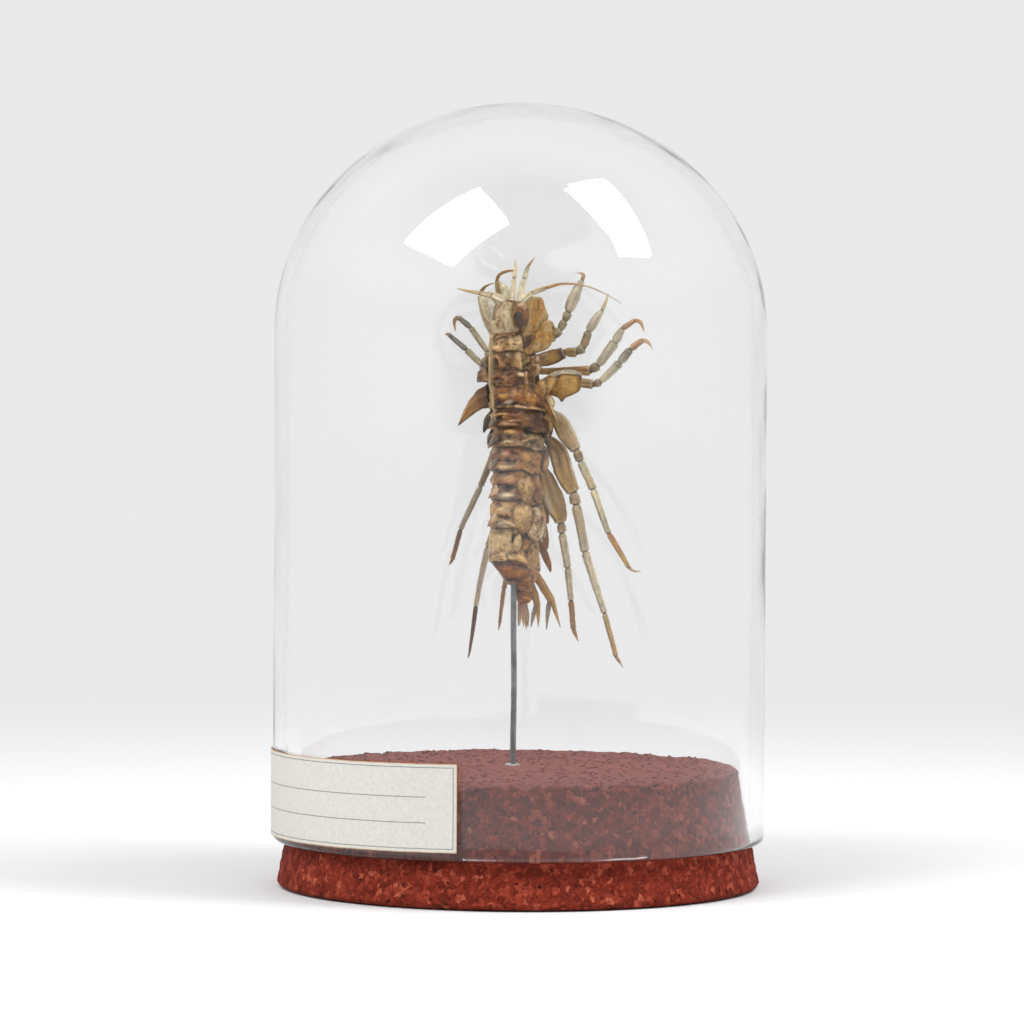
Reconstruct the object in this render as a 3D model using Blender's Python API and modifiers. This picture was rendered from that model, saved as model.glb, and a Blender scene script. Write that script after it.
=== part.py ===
"""Dried spiny freshwater amphipod on a steel pin, under a glass dome that stands on a cork.

Lengths in the tables are millimetres.  The origin is the middle of the cork's underside, +Z is up,
-Y is the side that shows the animal's back turned a little to its left, and +X is to the right.
"""
import math

import bmesh
import bpy
from mathutils import Vector

MM = 0.001

# Cork stopper: one straight cone with a worn lower edge
CORK_HEIGHT = 19.2
CORK_BOTTOM_RADIUS = 39.4
CORK_TOP_RADIUS = 35.6
CORK_EDGE = 1.0
CORK_STEPS = 44

# Glass dome: a cylinder under a flattened cap, wedged on the cork by its rim
DOME_RADIUS = 40.0
DOME_WALL = 2.0
DOME_RIM_Z = 7.3
DOME_SHOULDER_Z = 90.2
DOME_TOP_Z = 127.0
DOME_STEPS = 44
CAP_ARC_POINTS = 7
RIM_ROUND_POINTS = 4

# Paper label pasted round the left side of the glass
LABEL_START_DEG = 13.7
LABEL_END_DEG = 91.0
LABEL_BOTTOM_Z = 8.9
LABEL_HEIGHT = 13.8
LABEL_DROP = 0.6
LABEL_THICKNESS = 0.15
LABEL_GAP = 0.15
LABEL_SEGMENTS = 16

# Steel pin, pushed into the cork and into the tail of the animal
PIN_DIAMETER = 0.96
PIN_X = -0.9
PIN_Y = 1.3
PIN_BOTTOM_Z = 9.0
PIN_TOP_Z = 57.0
PIN_CLEARANCE = 0.15

# The animal hangs head up; its back is turned this far to the left of the viewer
TURN_DEG = 38.0
RIGHT_SIDE = Vector((math.cos(math.radians(TURN_DEG)), -math.sin(math.radians(TURN_DEG)), 0.0))
BACK_SIDE = Vector((-math.sin(math.radians(TURN_DEG)), -math.cos(math.radians(TURN_DEG)), 0.0))

SECTION_POINTS = 16
KEEL_HEIGHT = 0.6
KEEL_SHARPNESS = 24
EGG_SHAPE = 0.15
SEAT_GAP = 0.15
LIP_DROP = 0.15
FRONT_TUCK = 0.9

# Trunk segments from the head down: front z, rear z, middle x, middle y,
# half width, height of the back, depth of the belly
SEGMENTS = {
    "pereon_1": (89.7, 86.6, -2.5, -0.6, 3.9, 4.2, 4.6),
    "pereon_2": (86.6, 83.7, -2.25, -0.3, 4.2, 4.5, 4.8),
    "pereon_3": (83.7, 81.1, -1.9, 0.1, 4.5, 5.0, 5.0),
    "pereon_4": (81.1, 77.5, -1.5, 0.6, 5.1, 5.5, 5.0),
    "pereon_5": (77.5, 74.3, -1.45, 0.6, 5.0, 5.4, 5.2),
    "pereon_6": (74.3, 71.2, -1.45, 0.6, 4.8, 5.3, 5.2),
    "pereon_7": (71.2, 67.4, -1.5, 0.6, 4.5, 4.9, 5.2),
    "pleon_1": (67.4, 62.7, -1.4, 0.6, 4.2, 5.0, 5.6),
    "pleon_2": (62.7, 58.0, -1.4, 0.6, 4.3, 5.3, 6.1),
    "pleon_3": (58.0, 52.8, -1.4, 0.7, 4.2, 5.2, 6.0),
}

# Rings of the head and of the tail, from the top down, in the same order without a front z
HEAD_RINGS = (
    (95.6, -2.2, -0.3, 1.2, 1.1, 1.4),
    (95.0, -2.2, -0.4, 2.2, 1.9, 2.6),
    (93.4, -2.4, -0.6, 3.0, 2.8, 3.7),
    (91.4, -2.4, -0.6, 3.2, 3.2, 3.9),
    (89.9, -2.5, -0.6, 3.3, 3.5, 3.9),
)
TAIL_RINGS = (
    (52.6, -1.0, 1.2, 3.2, 3.9, 4.4),
    (50.8, -0.8, 1.5, 3.1, 2.9, 4.0),
    (48.7, -0.7, 1.6, 2.7, 1.7, 3.6),
    (48.5, 0.2, 2.7, 2.1, 0.9, 2.5),
    (47.2, 0.3, 2.8, 2.2, 0.9, 2.5),
    (47.0, 0.4, 2.9, 1.6, 0.8, 2.0),
    (45.9, 0.6, 3.1, 1.6, 0.8, 2.0),
    (45.2, 0.7, 3.2, 0.9, 0.5, 1.2),
)

# Growths on both flanks as rows of z, sideways, backwards, width; each is mirrored
FLANK_GROWTHS = {
    "horn_4": ((79.4, 4.0, 0.6, 3.9), (78.9, 5.6, 0.9, 3.2), (77.8, 7.1, 1.1, 2.3),
               (76.3, 8.7, 1.1, 1.3), (74.6, 10.3, 1.1, 0.16)),
    "lobe_2": ((85.0, 3.5, 0.6, 2.0), (84.6, 4.4, 0.6, 1.5), (84.1, 5.0, 0.6, 0.3)),
    "lobe_3": ((82.9, 3.7, 0.6, 2.4), (82.5, 5.1, 0.6, 2.2), (81.7, 6.2, 0.6, 0.4)),
    "horn_5": ((76.0, 4.0, 0.9, 2.6), (75.3, 5.0, 1.0, 1.7), (73.7, 5.7, 1.0, 0.3)),
    "horn_6": ((72.6, 3.8, 1.2, 2.0), (72.0, 4.6, 1.2, 1.2), (71.2, 5.1, 1.2, 0.3)),
}
COXAL_PLATES = {
    "coxa_1": ((88.2, 3.2, -1.0, 2.2), (90.6, 3.9, -2.6, 4.7), (93.0, 3.9, -3.3, 5.6),
               (94.8, 3.7, -3.3, 4.2), (95.7, 3.5, -3.2, 1.8)),
    "coxa_2": ((86.0, 3.7, -1.4, 2.5), (87.3, 4.2, -3.4, 4.2), (89.5, 4.3, -5.2, 4.2),
               (91.3, 4.2, -6.2, 2.8), (92.2, 4.1, -6.6, 0.8)),
    "coxa_3": ((83.1, 3.85, -1.25, 2.4), (83.55, 4.55, -2.65, 2.6), (83.95, 4.55, -3.6, 1.0)),
    "coxa_4": ((80.2, 4.3, -1.2, 2.8), (80.4, 5.2, -2.6, 2.8), (80.8, 5.2, -3.5, 1.0)),
    "coxa_5": ((78.2, 4.3, -1.6, 2.2), (77.9, 5.1, -3.2, 2.6), (77.5, 5.1, -4.2, 1.9),
               (77.1, 5.0, -4.8, 0.6)),
    "coxa_6": ((74.4, 4.1, -1.6, 1.8), (74.0, 4.9, -2.8, 2.0), (73.4, 4.9, -3.6, 0.8)),
    "coxa_7": ((70.6, 3.9, -1.6, 1.8), (70.0, 4.6, -2.8, 2.0), (69.4, 4.6, -3.6, 0.8)),
}
PLATE_THICKNESS = 0.5

# Teeth of the keel: z of the root's middle, reach past the keel, length of the root along the body
KEEL_TEETH = {
    "keel_tooth_p5": (75.0, 0.7, 1.8),
    "keel_tooth_p6": (72.0, 1.0, 2.2),
    "keel_tooth_p7": (68.4, 0.6, 1.6),
    "keel_tooth_pl1": (63.7, 1.1, 1.9),
    "keel_tooth_pl2": (59.2, 1.1, 1.9),
    "keel_tooth_pl3": (54.2, 0.7, 1.6),
}

# Three short spikes past the last segment: tip x, y, z
TAIL_SPIKES = ((0.1, 2.6, 42.1), (0.8, 3.3, 41.8), (1.4, 3.6, 42.6))
TAIL_SPIKE_ROOT_Z = 45.9
TAIL_SPIKE_WIDTH = 0.75

EYE_Z = 92.2
EYE_SIDEWAYS = 2.85
EYE_BACKWARDS = 0.6
EYE_RADIUS = 0.65

# Limbs as rows of x, y, z, width, kind.  A joint gets a pinched ring between two knuckles.
RIGHT_LEGS = {
    "gnathopod_1_right": (
        (2.8, 2.5, 87.8, 1.0, "root"), (5.6, 3.8, 89.2, 1.35, "joint"), (6.5, 4.2, 90.4, 1.5, "joint"),
        (7.3, 4.6, 91.8, 1.3, "joint"), (7.8, 4.8, 93.2, 1.45, "joint"), (8.4, 4.9, 95.0, 2.1, "swell"),
        (9.2, 5.0, 96.9, 1.7, "swell"), (10.0, 5.0, 98.6, 0.9, "joint"), (10.15, 5.0, 99.6, 0.6, "swell"),
        (9.2, 5.0, 99.95, 0.12, "tip")),
    "gnathopod_2_right": (
        (2.2, 2.3, 84.9, 1.6, "root"), (4.8, 2.8, 85.7, 2.5, "swell"), (7.2, 2.8, 86.7, 1.7, "joint"),
        (9.2, 2.9, 86.8, 1.5, "joint"), (10.3, 3.0, 87.6, 1.5, "joint"), (11.0, 3.2, 90.0, 1.3, "joint"),
        (12.0, 3.4, 91.7, 1.65, "swell"), (13.25, 3.5, 93.5, 0.8, "joint"), (13.8, 3.5, 94.9, 0.5, "swell"),
        (14.2, 3.5, 96.3, 0.12, "tip")),
    "pereopod_3_right": (
        (3.2, 2.6, 83.5, 1.1, "root"), (5.6, 3.8, 83.5, 1.2, "swell"), (11.4, 3.6, 83.9, 1.65, "joint"),
        (12.6, 3.4, 84.8, 1.45, "joint"), (15.2, 2.8, 88.4, 1.8, "joint"), (16.4, 2.5, 90.6, 1.1, "joint"),
        (18.5, 2.0, 92.0, 0.75, "joint"), (19.3, 1.9, 91.6, 0.6, "swell"), (19.9, 1.9, 90.1, 0.12, "tip")),
    "pereopod_4_right": (
        (3.3, 1.6, 81.4, 1.4, "root"), (5.2, 2.2, 81.3, 3.8, "swell"), (7.3, 2.0, 81.2, 4.7, "swell"),
        (9.4, 1.4, 81.8, 2.6, "joint"), (11.8, 0.8, 81.5, 1.5, "joint"), (13.0, 0.5, 82.0, 1.2, "joint"),
        (16.0, -0.2, 85.1, 1.6, "joint"), (17.7, -0.6, 87.2, 1.3, "joint"), (19.5, -0.8, 88.7, 0.9, "joint"),
        (20.4, -0.9, 88.4, 0.6, "swell"), (21.3, -1.0, 87.1, 0.12, "tip")),
    "pereopod_5_right": (
        (4.2, 1.8, 77.0, 1.4, "root"), (6.3, 2.0, 75.3, 2.7, "swell"), (7.6, 1.4, 73.0, 3.0, "swell"),
        (9.1, 0.6, 70.7, 1.7, "joint"), (9.8, 0.2, 68.9, 1.4, "joint"), (11.8, -0.8, 64.4, 1.35, "joint"),
        (14.5, -2.2, 57.2, 1.0, "joint"), (17.5, -3.2, 51.8, 0.75, "joint"), (18.5, -3.3, 51.2, 0.4, "swell"),
        (19.7, -3.4, 51.2, 0.12, "tip")),
    "pereopod_6_right": (
        (4.2, 2.0, 72.9, 1.4, "root"), (6.0, 2.6, 70.5, 3.3, "swell"), (6.9, 2.5, 67.8, 3.8, "swell"),
        (7.9, 2.4, 65.3, 3.2, "swell"), (8.7, 2.3, 63.7, 2.0, "joint"), (9.0, 2.3, 61.8, 1.65, "joint"),
        (10.7, 2.4, 54.1, 1.5, "joint"), (13.9, 2.8, 44.2, 1.0, "joint"), (15.8, 3.0, 37.0, 0.75, "joint"),
        (17.1, 3.0, 35.2, 0.12, "tip")),
    "pereopod_7_right": (
        (3.4, 2.2, 68.0, 1.4, "root"), (4.4, 2.9, 65.5, 2.8, "swell"), (5.4, 3.1, 62.6, 3.9, "swell"),
        (6.3, 3.2, 60.1, 3.0, "swell"), (6.6, 3.3, 58.8, 1.8, "joint"), (6.8, 3.5, 57.2, 1.4, "joint"),
        (7.9, 4.4, 51.4, 1.3, "joint"), (8.5, 5.4, 46.1, 1.05, "joint"), (8.9, 6.0, 41.3, 0.95, "joint"),
        (9.7, 6.2, 39.3, 0.12, "tip")),
}
LEFT_LEGS = {
    "gnathopod_1_left": (
        (-0.8, 5.3, 87.8, 1.0, "root"), (0.3, 8.6, 88.6, 1.4, "joint"), (-0.9, 9.8, 90.6, 1.4, "joint"),
        (-2.4, 10.0, 93.2, 1.3, "joint"), (-3.6, 10.0, 95.7, 1.3, "joint"), (-4.1, 10.0, 98.5, 0.8, "joint"),
        (-3.5, 10.0, 99.6, 0.6, "swell"), (-1.8, 10.0, 100.1, 0.45, "swell"),
        (-0.5, 10.0, 99.9, 0.12, "tip")),
    "gnathopod_2_left": (
        (-0.8, 4.8, 85.0, 1.2, "root"), (-0.2, 7.6, 85.3, 1.6, "swell"), (-2.0, 9.6, 86.6, 1.3, "joint"),
        (-4.0, 10.1, 88.6, 1.2, "joint"), (-5.1, 10.2, 90.2, 1.2, "joint"), (-6.3, 10.2, 93.3, 1.3, "swell"),
        (-7.0, 10.2, 95.9, 0.8, "joint"), (-6.2, 10.2, 97.3, 0.5, "swell"), (-4.6, 10.2, 98.1, 0.12, "tip")),
    "pereopod_3_left": (
        (-2.1, 5.5, 82.4, 1.2, "root"), (-4.3, 9.4, 82.8, 1.6, "joint"), (-4.9, 10.2, 84.0, 1.3, "joint"),
        (-5.6, 10.5, 86.7, 1.2, "joint"), (-8.6, 11.0, 90.7, 1.1, "joint"), (-10.7, 11.4, 92.4, 0.9, "joint"),
        (-11.2, 11.4, 91.6, 0.6, "swell"), (-11.0, 11.4, 90.1, 0.12, "tip")),
    "pereopod_4_left": (
        (-1.4, 5.9, 80.0, 1.3, "root"), (-2.8, 8.4, 80.4, 3.4, "swell"), (-4.4, 10.0, 81.2, 2.0, "joint"),
        (-5.5, 10.3, 82.4, 1.3, "joint"), (-6.6, 10.4, 84.4, 1.2, "joint"), (-9.2, 10.8, 87.0, 1.1, "joint"),
        (-12.2, 11.2, 89.7, 0.7, "joint"), (-12.7, 11.2, 89.5, 0.12, "tip")),
    "pereopod_5_left": (
        (-2.1, 6.2, 76.5, 1.4, "root"), (-2.6, 8.2, 74.8, 2.9, "swell"), (-3.3, 9.9, 72.4, 2.5, "swell"),
        (-4.1, 10.8, 70.4, 1.5, "joint"), (-6.6, 12.5, 64.4, 1.25, "joint"),
        (-9.9, 14.5, 57.3, 0.95, "joint"), (-11.3, 16.0, 52.2, 0.75, "joint"),
        (-11.8, 16.3, 51.3, 0.12, "tip")),
    "pereopod_6_left": (
        (-1.8, 6.4, 73.0, 1.4, "root"), (-1.6, 8.6, 70.2, 3.2, "swell"), (-1.7, 10.0, 66.8, 3.4, "swell"),
        (-2.0, 10.9, 64.2, 1.8, "joint"), (-2.6, 11.4, 62.4, 1.5, "joint"),
        (-5.2, 14.0, 54.6, 1.25, "joint"), (-7.3, 17.0, 44.5, 1.0, "joint"),
        (-8.3, 19.0, 36.6, 0.5, "joint"), (-8.6, 19.4, 35.6, 0.12, "tip")),
    "pereopod_7_left": (
        (-1.3, 6.6, 68.6, 1.4, "root"), (-0.9, 8.6, 65.6, 3.2, "swell"), (-0.6, 9.8, 62.2, 3.2, "swell"),
        (-0.5, 10.4, 60.0, 1.7, "joint"), (-0.7, 10.9, 58.4, 1.4, "joint"), (-1.3, 12.4, 53.0, 1.2, "joint"),
        (-2.5, 14.0, 47.4, 0.9, "joint"), (-3.2, 15.5, 41.7, 0.6, "joint"), (-3.4, 15.8, 40.6, 0.12, "tip")),
}
ANTENNAE = {
    "antenna_1_right": (
        (-0.4, -0.4, 94.6, 1.0, "root"), (1.85, -1.0, 96.2, 0.85, "joint"), (4.1, -1.6, 97.0, 0.6, "joint"),
        (6.8, -2.2, 97.7, 0.42, "swell"), (10.2, -2.6, 97.4, 0.3, "swell"), (13.3, -2.7, 96.2, 0.22, "swell"),
        (16.1, -2.7, 94.6, 0.12, "tip")),
    "antenna_1_left": (
        (-2.6, -0.6, 94.8, 1.0, "root"), (-4.7, 0.2, 95.7, 0.95, "joint"), (-6.7, 0.9, 96.1, 0.7, "joint"),
        (-8.6, 1.6, 96.4, 0.45, "swell"), (-10.5, 2.2, 96.8, 0.14, "tip")),
    "antenna_2_right": (
        (-0.3, 1.0, 94.4, 1.1, "root"), (0.5, 1.6, 98.4, 1.0, "joint"), (1.2, 1.8, 100.5, 0.6, "joint"),
        (2.35, 2.0, 102.2, 0.14, "tip")),
    "antenna_2_left": (
        (-1.6, 1.2, 94.5, 0.8, "root"), (-1.15, 1.6, 98.5, 0.75, "joint"), (-0.9, 1.7, 100.1, 0.65, "swell"),
        (-0.9, 1.8, 101.8, 0.14, "tip")),
}

# Right uropods: a stalk, then two prongs that start from its end; the left ones are mirrored
UROPODS = {
    "uropod_1": (
        ((1.9, 2.4, 51.4, 1.2, "root"), (3.4, 3.1, 49.0, 1.45, "swell"), (5.2, 4.0, 46.1, 1.3, "tip")),
        ((5.0, 4.2, 46.4, 0.8, "root"), (4.7, 4.5, 44.4, 0.85, "swell"), (4.55, 4.7, 41.3, 0.14, "tip")),
        ((5.3, 3.9, 46.3, 0.8, "root"), (5.9, 3.9, 44.3, 0.7, "swell"), (6.75, 3.9, 41.7, 0.14, "tip"))),
    "uropod_2": (
        ((1.5, 3.0, 49.6, 1.0, "root"), (2.4, 3.4, 47.4, 1.1, "swell"), (2.9, 3.8, 45.3, 1.1, "tip")),
        ((2.7, 4.0, 45.6, 0.7, "root"), (2.3, 4.2, 43.7, 0.75, "swell"), (1.95, 4.3, 41.8, 0.14, "tip")),
        ((3.0, 3.7, 45.5, 0.7, "root"), (3.1, 3.8, 43.8, 0.65, "swell"), (3.15, 3.9, 41.8, 0.14, "tip"))),
}

# Swimming limbs under the pleon: z of the root, sideways, and how far the tip hangs below the root
PLEOPODS = {
    "pleopod_1": (65.2, 1.2, 6.6),
    "pleopod_2": (61.2, 1.2, 6.8),
    "pleopod_3": (57.0, 1.2, 6.4),
}
PLEOPOD_ROOT_BACKWARDS = -4.6
PLEOPOD_REACH = 3.4
PLEOPOD_WIDTH = 1.7

LEG_SIDES = 6
FINE_SIDES = 5
LEG_FLATNESS = 0.85
LEG_THICKNESS_MAX = 1.25
KNUCKLE_REACH = 0.3
KNUCKLE_GROWTH = 1.12
PINCH = 0.72
ROOT_BURY = 1.4
ROUND_RUN = 1.2
ROUND_WIDTH = 2.6


def clear_scene():
    for item in list(bpy.data.objects):
        bpy.data.objects.remove(item, do_unlink=True)


def new_collection(name):
    collection = bpy.data.collections.new(name)
    bpy.context.scene.collection.children.link(collection)
    return collection


def new_material(name, color, roughness, metallic=0.0, transmission=0.0):
    material = bpy.data.materials.new(name)
    material.use_nodes = True
    shader = material.node_tree.nodes["Principled BSDF"]
    shader.inputs["Base Color"].default_value = (*color, 1.0)
    shader.inputs["Roughness"].default_value = roughness
    shader.inputs["Metallic"].default_value = metallic
    shader.inputs["Transmission Weight"].default_value = transmission
    material.diffuse_color = (*color, 1.0)
    return material


def new_object(name, mesh, collection, material=None):
    item = bpy.data.objects.new(name, mesh)
    collection.objects.link(item)
    if material:
        mesh.materials.append(material)
    return item


def as_cutter(item):
    item.hide_render = True
    item.display_type = "WIRE"
    return item


def boolean(item, other, operation):
    modifier = item.modifiers.new(operation.title(), "BOOLEAN")
    modifier.operation = operation
    modifier.solver = "EXACT"
    if isinstance(other, bpy.types.Collection):
        modifier.operand_type = "COLLECTION"
        modifier.collection = other
    else:
        modifier.object = other


def smooth(mesh):
    mesh.shade_smooth()
    mesh.set_sharp_from_angle(angle=math.radians(35))


def rings_to_mesh(name, rings):
    """Skin a row of closed rings of equal point counts, with a flat cap at each end."""
    skin = bmesh.new()
    rows = [[skin.verts.new(point * MM) for point in ring] for ring in rings]
    count = len(rings[0])
    for upper, lower in zip(rows, rows[1:]):
        for here in range(count):
            there = (here + 1) % count
            skin.faces.new((upper[here], upper[there], lower[there], lower[here]))
    skin.faces.new(list(reversed(rows[0])))
    skin.faces.new(rows[-1])
    bmesh.ops.recalc_face_normals(skin, faces=skin.faces)
    mesh = bpy.data.meshes.new(name)
    skin.to_mesh(mesh)
    skin.free()
    smooth(mesh)
    return mesh


def turned(name, profile, steps, collection, material):
    """Turn a profile of radius, z pairs, listed down the outer side, about the Z axis."""
    mesh = bpy.data.meshes.new(name)
    points = [(radius * MM, 0.0, z * MM) for radius, z in profile]
    mesh.from_pydata(points, [(i, i + 1) for i in range(len(points) - 1)], [])
    item = new_object(name, mesh, collection, material)
    screw = item.modifiers.new("Turn", "SCREW")
    screw.axis = "Z"
    screw.steps = steps
    screw.render_steps = steps
    screw.use_merge_vertices = True
    screw.merge_threshold = 0.00001
    screw.use_smooth_shade = True
    return item


def cylinder(name, radius, bottom_z, top_z, x, y, segments, collection):
    solid = bmesh.new()
    bmesh.ops.create_cone(solid, cap_ends=True, segments=segments, radius1=radius * MM,
                          radius2=radius * MM, depth=(top_z - bottom_z) * MM)
    mesh = bpy.data.meshes.new(name)
    solid.to_mesh(mesh)
    solid.free()
    item = new_object(name, mesh, collection)
    item.location = Vector((x, y, (bottom_z + top_z) / 2)) * MM
    return item


def trunk_rings():
    """All rings of the trunk from the head down: z, middle x, middle y, half width, back, belly."""
    rings = list(HEAD_RINGS)
    for front, rear, x, y, width, back, belly in SEGMENTS.values():
        rings.append((front - LIP_DROP, x, y, width * FRONT_TUCK, back * FRONT_TUCK, belly * FRONT_TUCK))
        rings.append((rear, x, y, width, back, belly))
    rings.extend(TAIL_RINGS)
    return rings


def centre_at(z):
    """Middle of the trunk at a height, read between its rings."""
    rings = trunk_rings()
    for upper, lower in zip(rings, rings[1:]):
        if upper[0] >= z >= lower[0]:
            share = (upper[0] - z) / max(upper[0] - lower[0], 0.001)
            x = upper[1] + (lower[1] - upper[1]) * share
            y = upper[2] + (lower[2] - upper[2]) * share
            return Vector((x, y, z))
    nearest = rings[0] if z > rings[0][0] else rings[-1]
    return Vector((nearest[1], nearest[2], z))


def back_at(z):
    """Height of the back over the middle of the trunk at a height."""
    rings = trunk_rings()
    for upper, lower in zip(rings, rings[1:]):
        if upper[0] >= z >= lower[0]:
            share = (upper[0] - z) / max(upper[0] - lower[0], 0.001)
            return upper[4] + (lower[4] - upper[4]) * share
    return rings[-1][4]


def on_body(z, sideways, backwards):
    return centre_at(z) + RIGHT_SIDE * sideways + BACK_SIDE * backwards


def mirrored(point):
    """The same place on the animal's other side."""
    centre = centre_at(point.z)
    return point - RIGHT_SIDE * (2.0 * (point - centre).dot(RIGHT_SIDE))


def body_section(ring, grow=0.0):
    """Egg-shaped section, wider towards the belly, with a keel along the back."""
    z, x, y, width, back, belly = ring
    centre = Vector((x, y, z))
    points = []
    for index in range(SECTION_POINTS):
        turn = 2.0 * math.pi * index / SECTION_POINTS
        sideways = (width + grow) * math.sin(turn) * (1.0 - EGG_SHAPE * math.cos(turn))
        if math.cos(turn) > 0.0:
            keel = KEEL_HEIGHT * math.cos(turn) ** KEEL_SHARPNESS
            backwards = (back - KEEL_HEIGHT + grow) * math.cos(turn) + keel
        else:
            backwards = (belly + grow) * math.cos(turn)
        points.append(centre + RIGHT_SIDE * sideways + BACK_SIDE * backwards)
    return points


def rounded(stations):
    """Add one station in the middle of each long run, on a smooth curve through its neighbours."""
    result = [stations[0]]
    for index in range(1, len(stations)):
        one = stations[index - 1]
        two = stations[index]
        if (two[0] - one[0]).length > ROUND_RUN and max(one[1], two[1]) > ROUND_WIDTH:
            before = stations[max(index - 2, 0)]
            after = stations[min(index + 1, len(stations) - 1)]
            point = (one[0] + two[0]) * 0.5625 - (before[0] + after[0]) * 0.0625
            width = (one[1] + two[1]) * 0.5625 - (before[1] + after[1]) * 0.0625
            result.append((point, width))
        result.append(two)
    return result


def loft(name, stations, sides, facing, thickness_max, collection, material=None):
    """Oval tube through stations of point, width; its flat side looks along facing."""
    points = [point for point, _ in stations]
    rings = []
    for index, (point, width) in enumerate(stations):
        before = points[max(index - 1, 0)]
        after = points[min(index + 1, len(points) - 1)]
        along = (after - before).normalized()
        normal = (facing - along * facing.dot(along)).normalized()
        across = along.cross(normal)
        thickness = min(width * LEG_FLATNESS, thickness_max)
        ring = []
        for side in range(sides):
            turn = 2.0 * math.pi * side / sides
            offset = across * (width / 2 * math.cos(turn)) + normal * (thickness / 2 * math.sin(turn))
            ring.append(point + offset)
        rings.append(ring)
    return new_object(name, rings_to_mesh(name, rings), collection, material)


def limb_stations(rows):
    """Widen each joint of a limb into knuckle, pinch, knuckle."""
    points = [Vector(row[:3]) for row in rows]
    start = points[0] + (points[0] - points[1]).normalized() * ROOT_BURY
    stations = [(start, rows[0][3])]
    for index, (point, row) in enumerate(zip(points, rows)):
        width, kind = row[3:]
        if kind != "joint":
            stations.append((point, width))
            continue
        back = (points[index - 1] - point).normalized() * KNUCKLE_REACH
        ahead = (points[index + 1] - point).normalized() * KNUCKLE_REACH
        stations.append((point + back, width * KNUCKLE_GROWTH))
        stations.append((point, width * PINCH))
        stations.append((point + ahead, width))
    return stations


def make_cork(collection, cutters, material):
    """Tapered stopper with a blind hole for the pin."""
    slope = (CORK_BOTTOM_RADIUS - CORK_TOP_RADIUS) / CORK_HEIGHT
    profile = [
        (0.0, CORK_HEIGHT),
        (CORK_TOP_RADIUS - CORK_EDGE * 0.5, CORK_HEIGHT),
        (CORK_TOP_RADIUS, CORK_HEIGHT - CORK_EDGE * 0.5),
        (CORK_BOTTOM_RADIUS - slope * CORK_EDGE, CORK_EDGE),
        (CORK_BOTTOM_RADIUS - CORK_EDGE * 0.3, CORK_EDGE * 0.3),
        (CORK_BOTTOM_RADIUS - CORK_EDGE, 0.0),
        (0.0, 0.0),
    ]
    cork = turned("cork_base", profile, CORK_STEPS, collection, material)
    hole = cylinder("cork_pin_hole", PIN_DIAMETER / 2 + PIN_CLEARANCE, PIN_BOTTOM_Z - PIN_CLEARANCE,
                    CORK_HEIGHT + 1.0, PIN_X, PIN_Y, 12, cutters)
    boolean(cork, as_cutter(hole), "DIFFERENCE")
    return cork


def dome_side(radius, top_z):
    """Points of one side of the glass, from the top of the cap down to the shoulder."""
    points = []
    for index in range(CAP_ARC_POINTS + 1):
        turn = math.pi / 2 * index / CAP_ARC_POINTS
        points.append((radius * math.sin(turn), DOME_SHOULDER_Z + (top_z - DOME_SHOULDER_Z) * math.cos(turn)))
    return points


def make_dome(collection, material):
    """Glass of even wall with a rounded rim, open below."""
    half = DOME_WALL / 2
    profile = dome_side(DOME_RADIUS, DOME_TOP_Z)
    middle = DOME_RADIUS - half
    for index in range(RIM_ROUND_POINTS + 1):
        turn = math.pi * index / RIM_ROUND_POINTS
        profile.append((middle + half * math.cos(turn), DOME_RIM_Z + half - half * math.sin(turn)))
    profile.extend(reversed(dome_side(DOME_RADIUS - DOME_WALL, DOME_TOP_Z - DOME_WALL)))
    profile[0] = (0.0, DOME_TOP_Z)
    profile[-1] = (0.0, DOME_TOP_Z - DOME_WALL)
    return turned("glass_dome", profile, DOME_STEPS, collection, material)


def make_label(collection, material):
    """Strip of paper that follows the glass, lower at its far end."""
    strip = bmesh.new()
    bmesh.ops.create_grid(strip, x_segments=LABEL_SEGMENTS, y_segments=1, size=0.5)
    radius = DOME_RADIUS + LABEL_GAP
    for vertex in strip.verts:
        share = vertex.co.x + 0.5
        height = vertex.co.y + 0.5
        turn = math.radians(LABEL_START_DEG + (LABEL_END_DEG - LABEL_START_DEG) * share)
        z = LABEL_BOTTOM_Z + LABEL_HEIGHT * height - LABEL_DROP * share
        vertex.co = Vector((-radius * math.sin(turn), -radius * math.cos(turn), z)) * MM
    bmesh.ops.recalc_face_normals(strip, faces=strip.faces)
    outward = Vector((-1.0, -1.0, 0.0))
    if sum((face.normal.dot(outward) for face in strip.faces)) < 0.0:
        bmesh.ops.reverse_faces(strip, faces=strip.faces)
    mesh = bpy.data.meshes.new("paper_label")
    strip.to_mesh(mesh)
    strip.free()
    label = new_object("paper_label", mesh, collection, material)
    wall = label.modifiers.new("Paper", "SOLIDIFY")
    wall.thickness = LABEL_THICKNESS * MM
    wall.offset = 1.0
    return label


def make_pin(collection, material):
    """Straight steel wire."""
    curve = bpy.data.curves.new("mounting_pin", "CURVE")
    curve.dimensions = "3D"
    curve.bevel_depth = PIN_DIAMETER / 2 * MM
    curve.bevel_resolution = 2
    curve.use_fill_caps = True
    spline = curve.splines.new("POLY")
    spline.points.add(1)
    spline.points[0].co = (PIN_X * MM, PIN_Y * MM, PIN_BOTTOM_Z * MM, 1.0)
    spline.points[1].co = (PIN_X * MM, PIN_Y * MM, PIN_TOP_Z * MM, 1.0)
    curve.materials.append(material)
    pin = bpy.data.objects.new("mounting_pin", curve)
    collection.objects.link(pin)
    return pin


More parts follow.
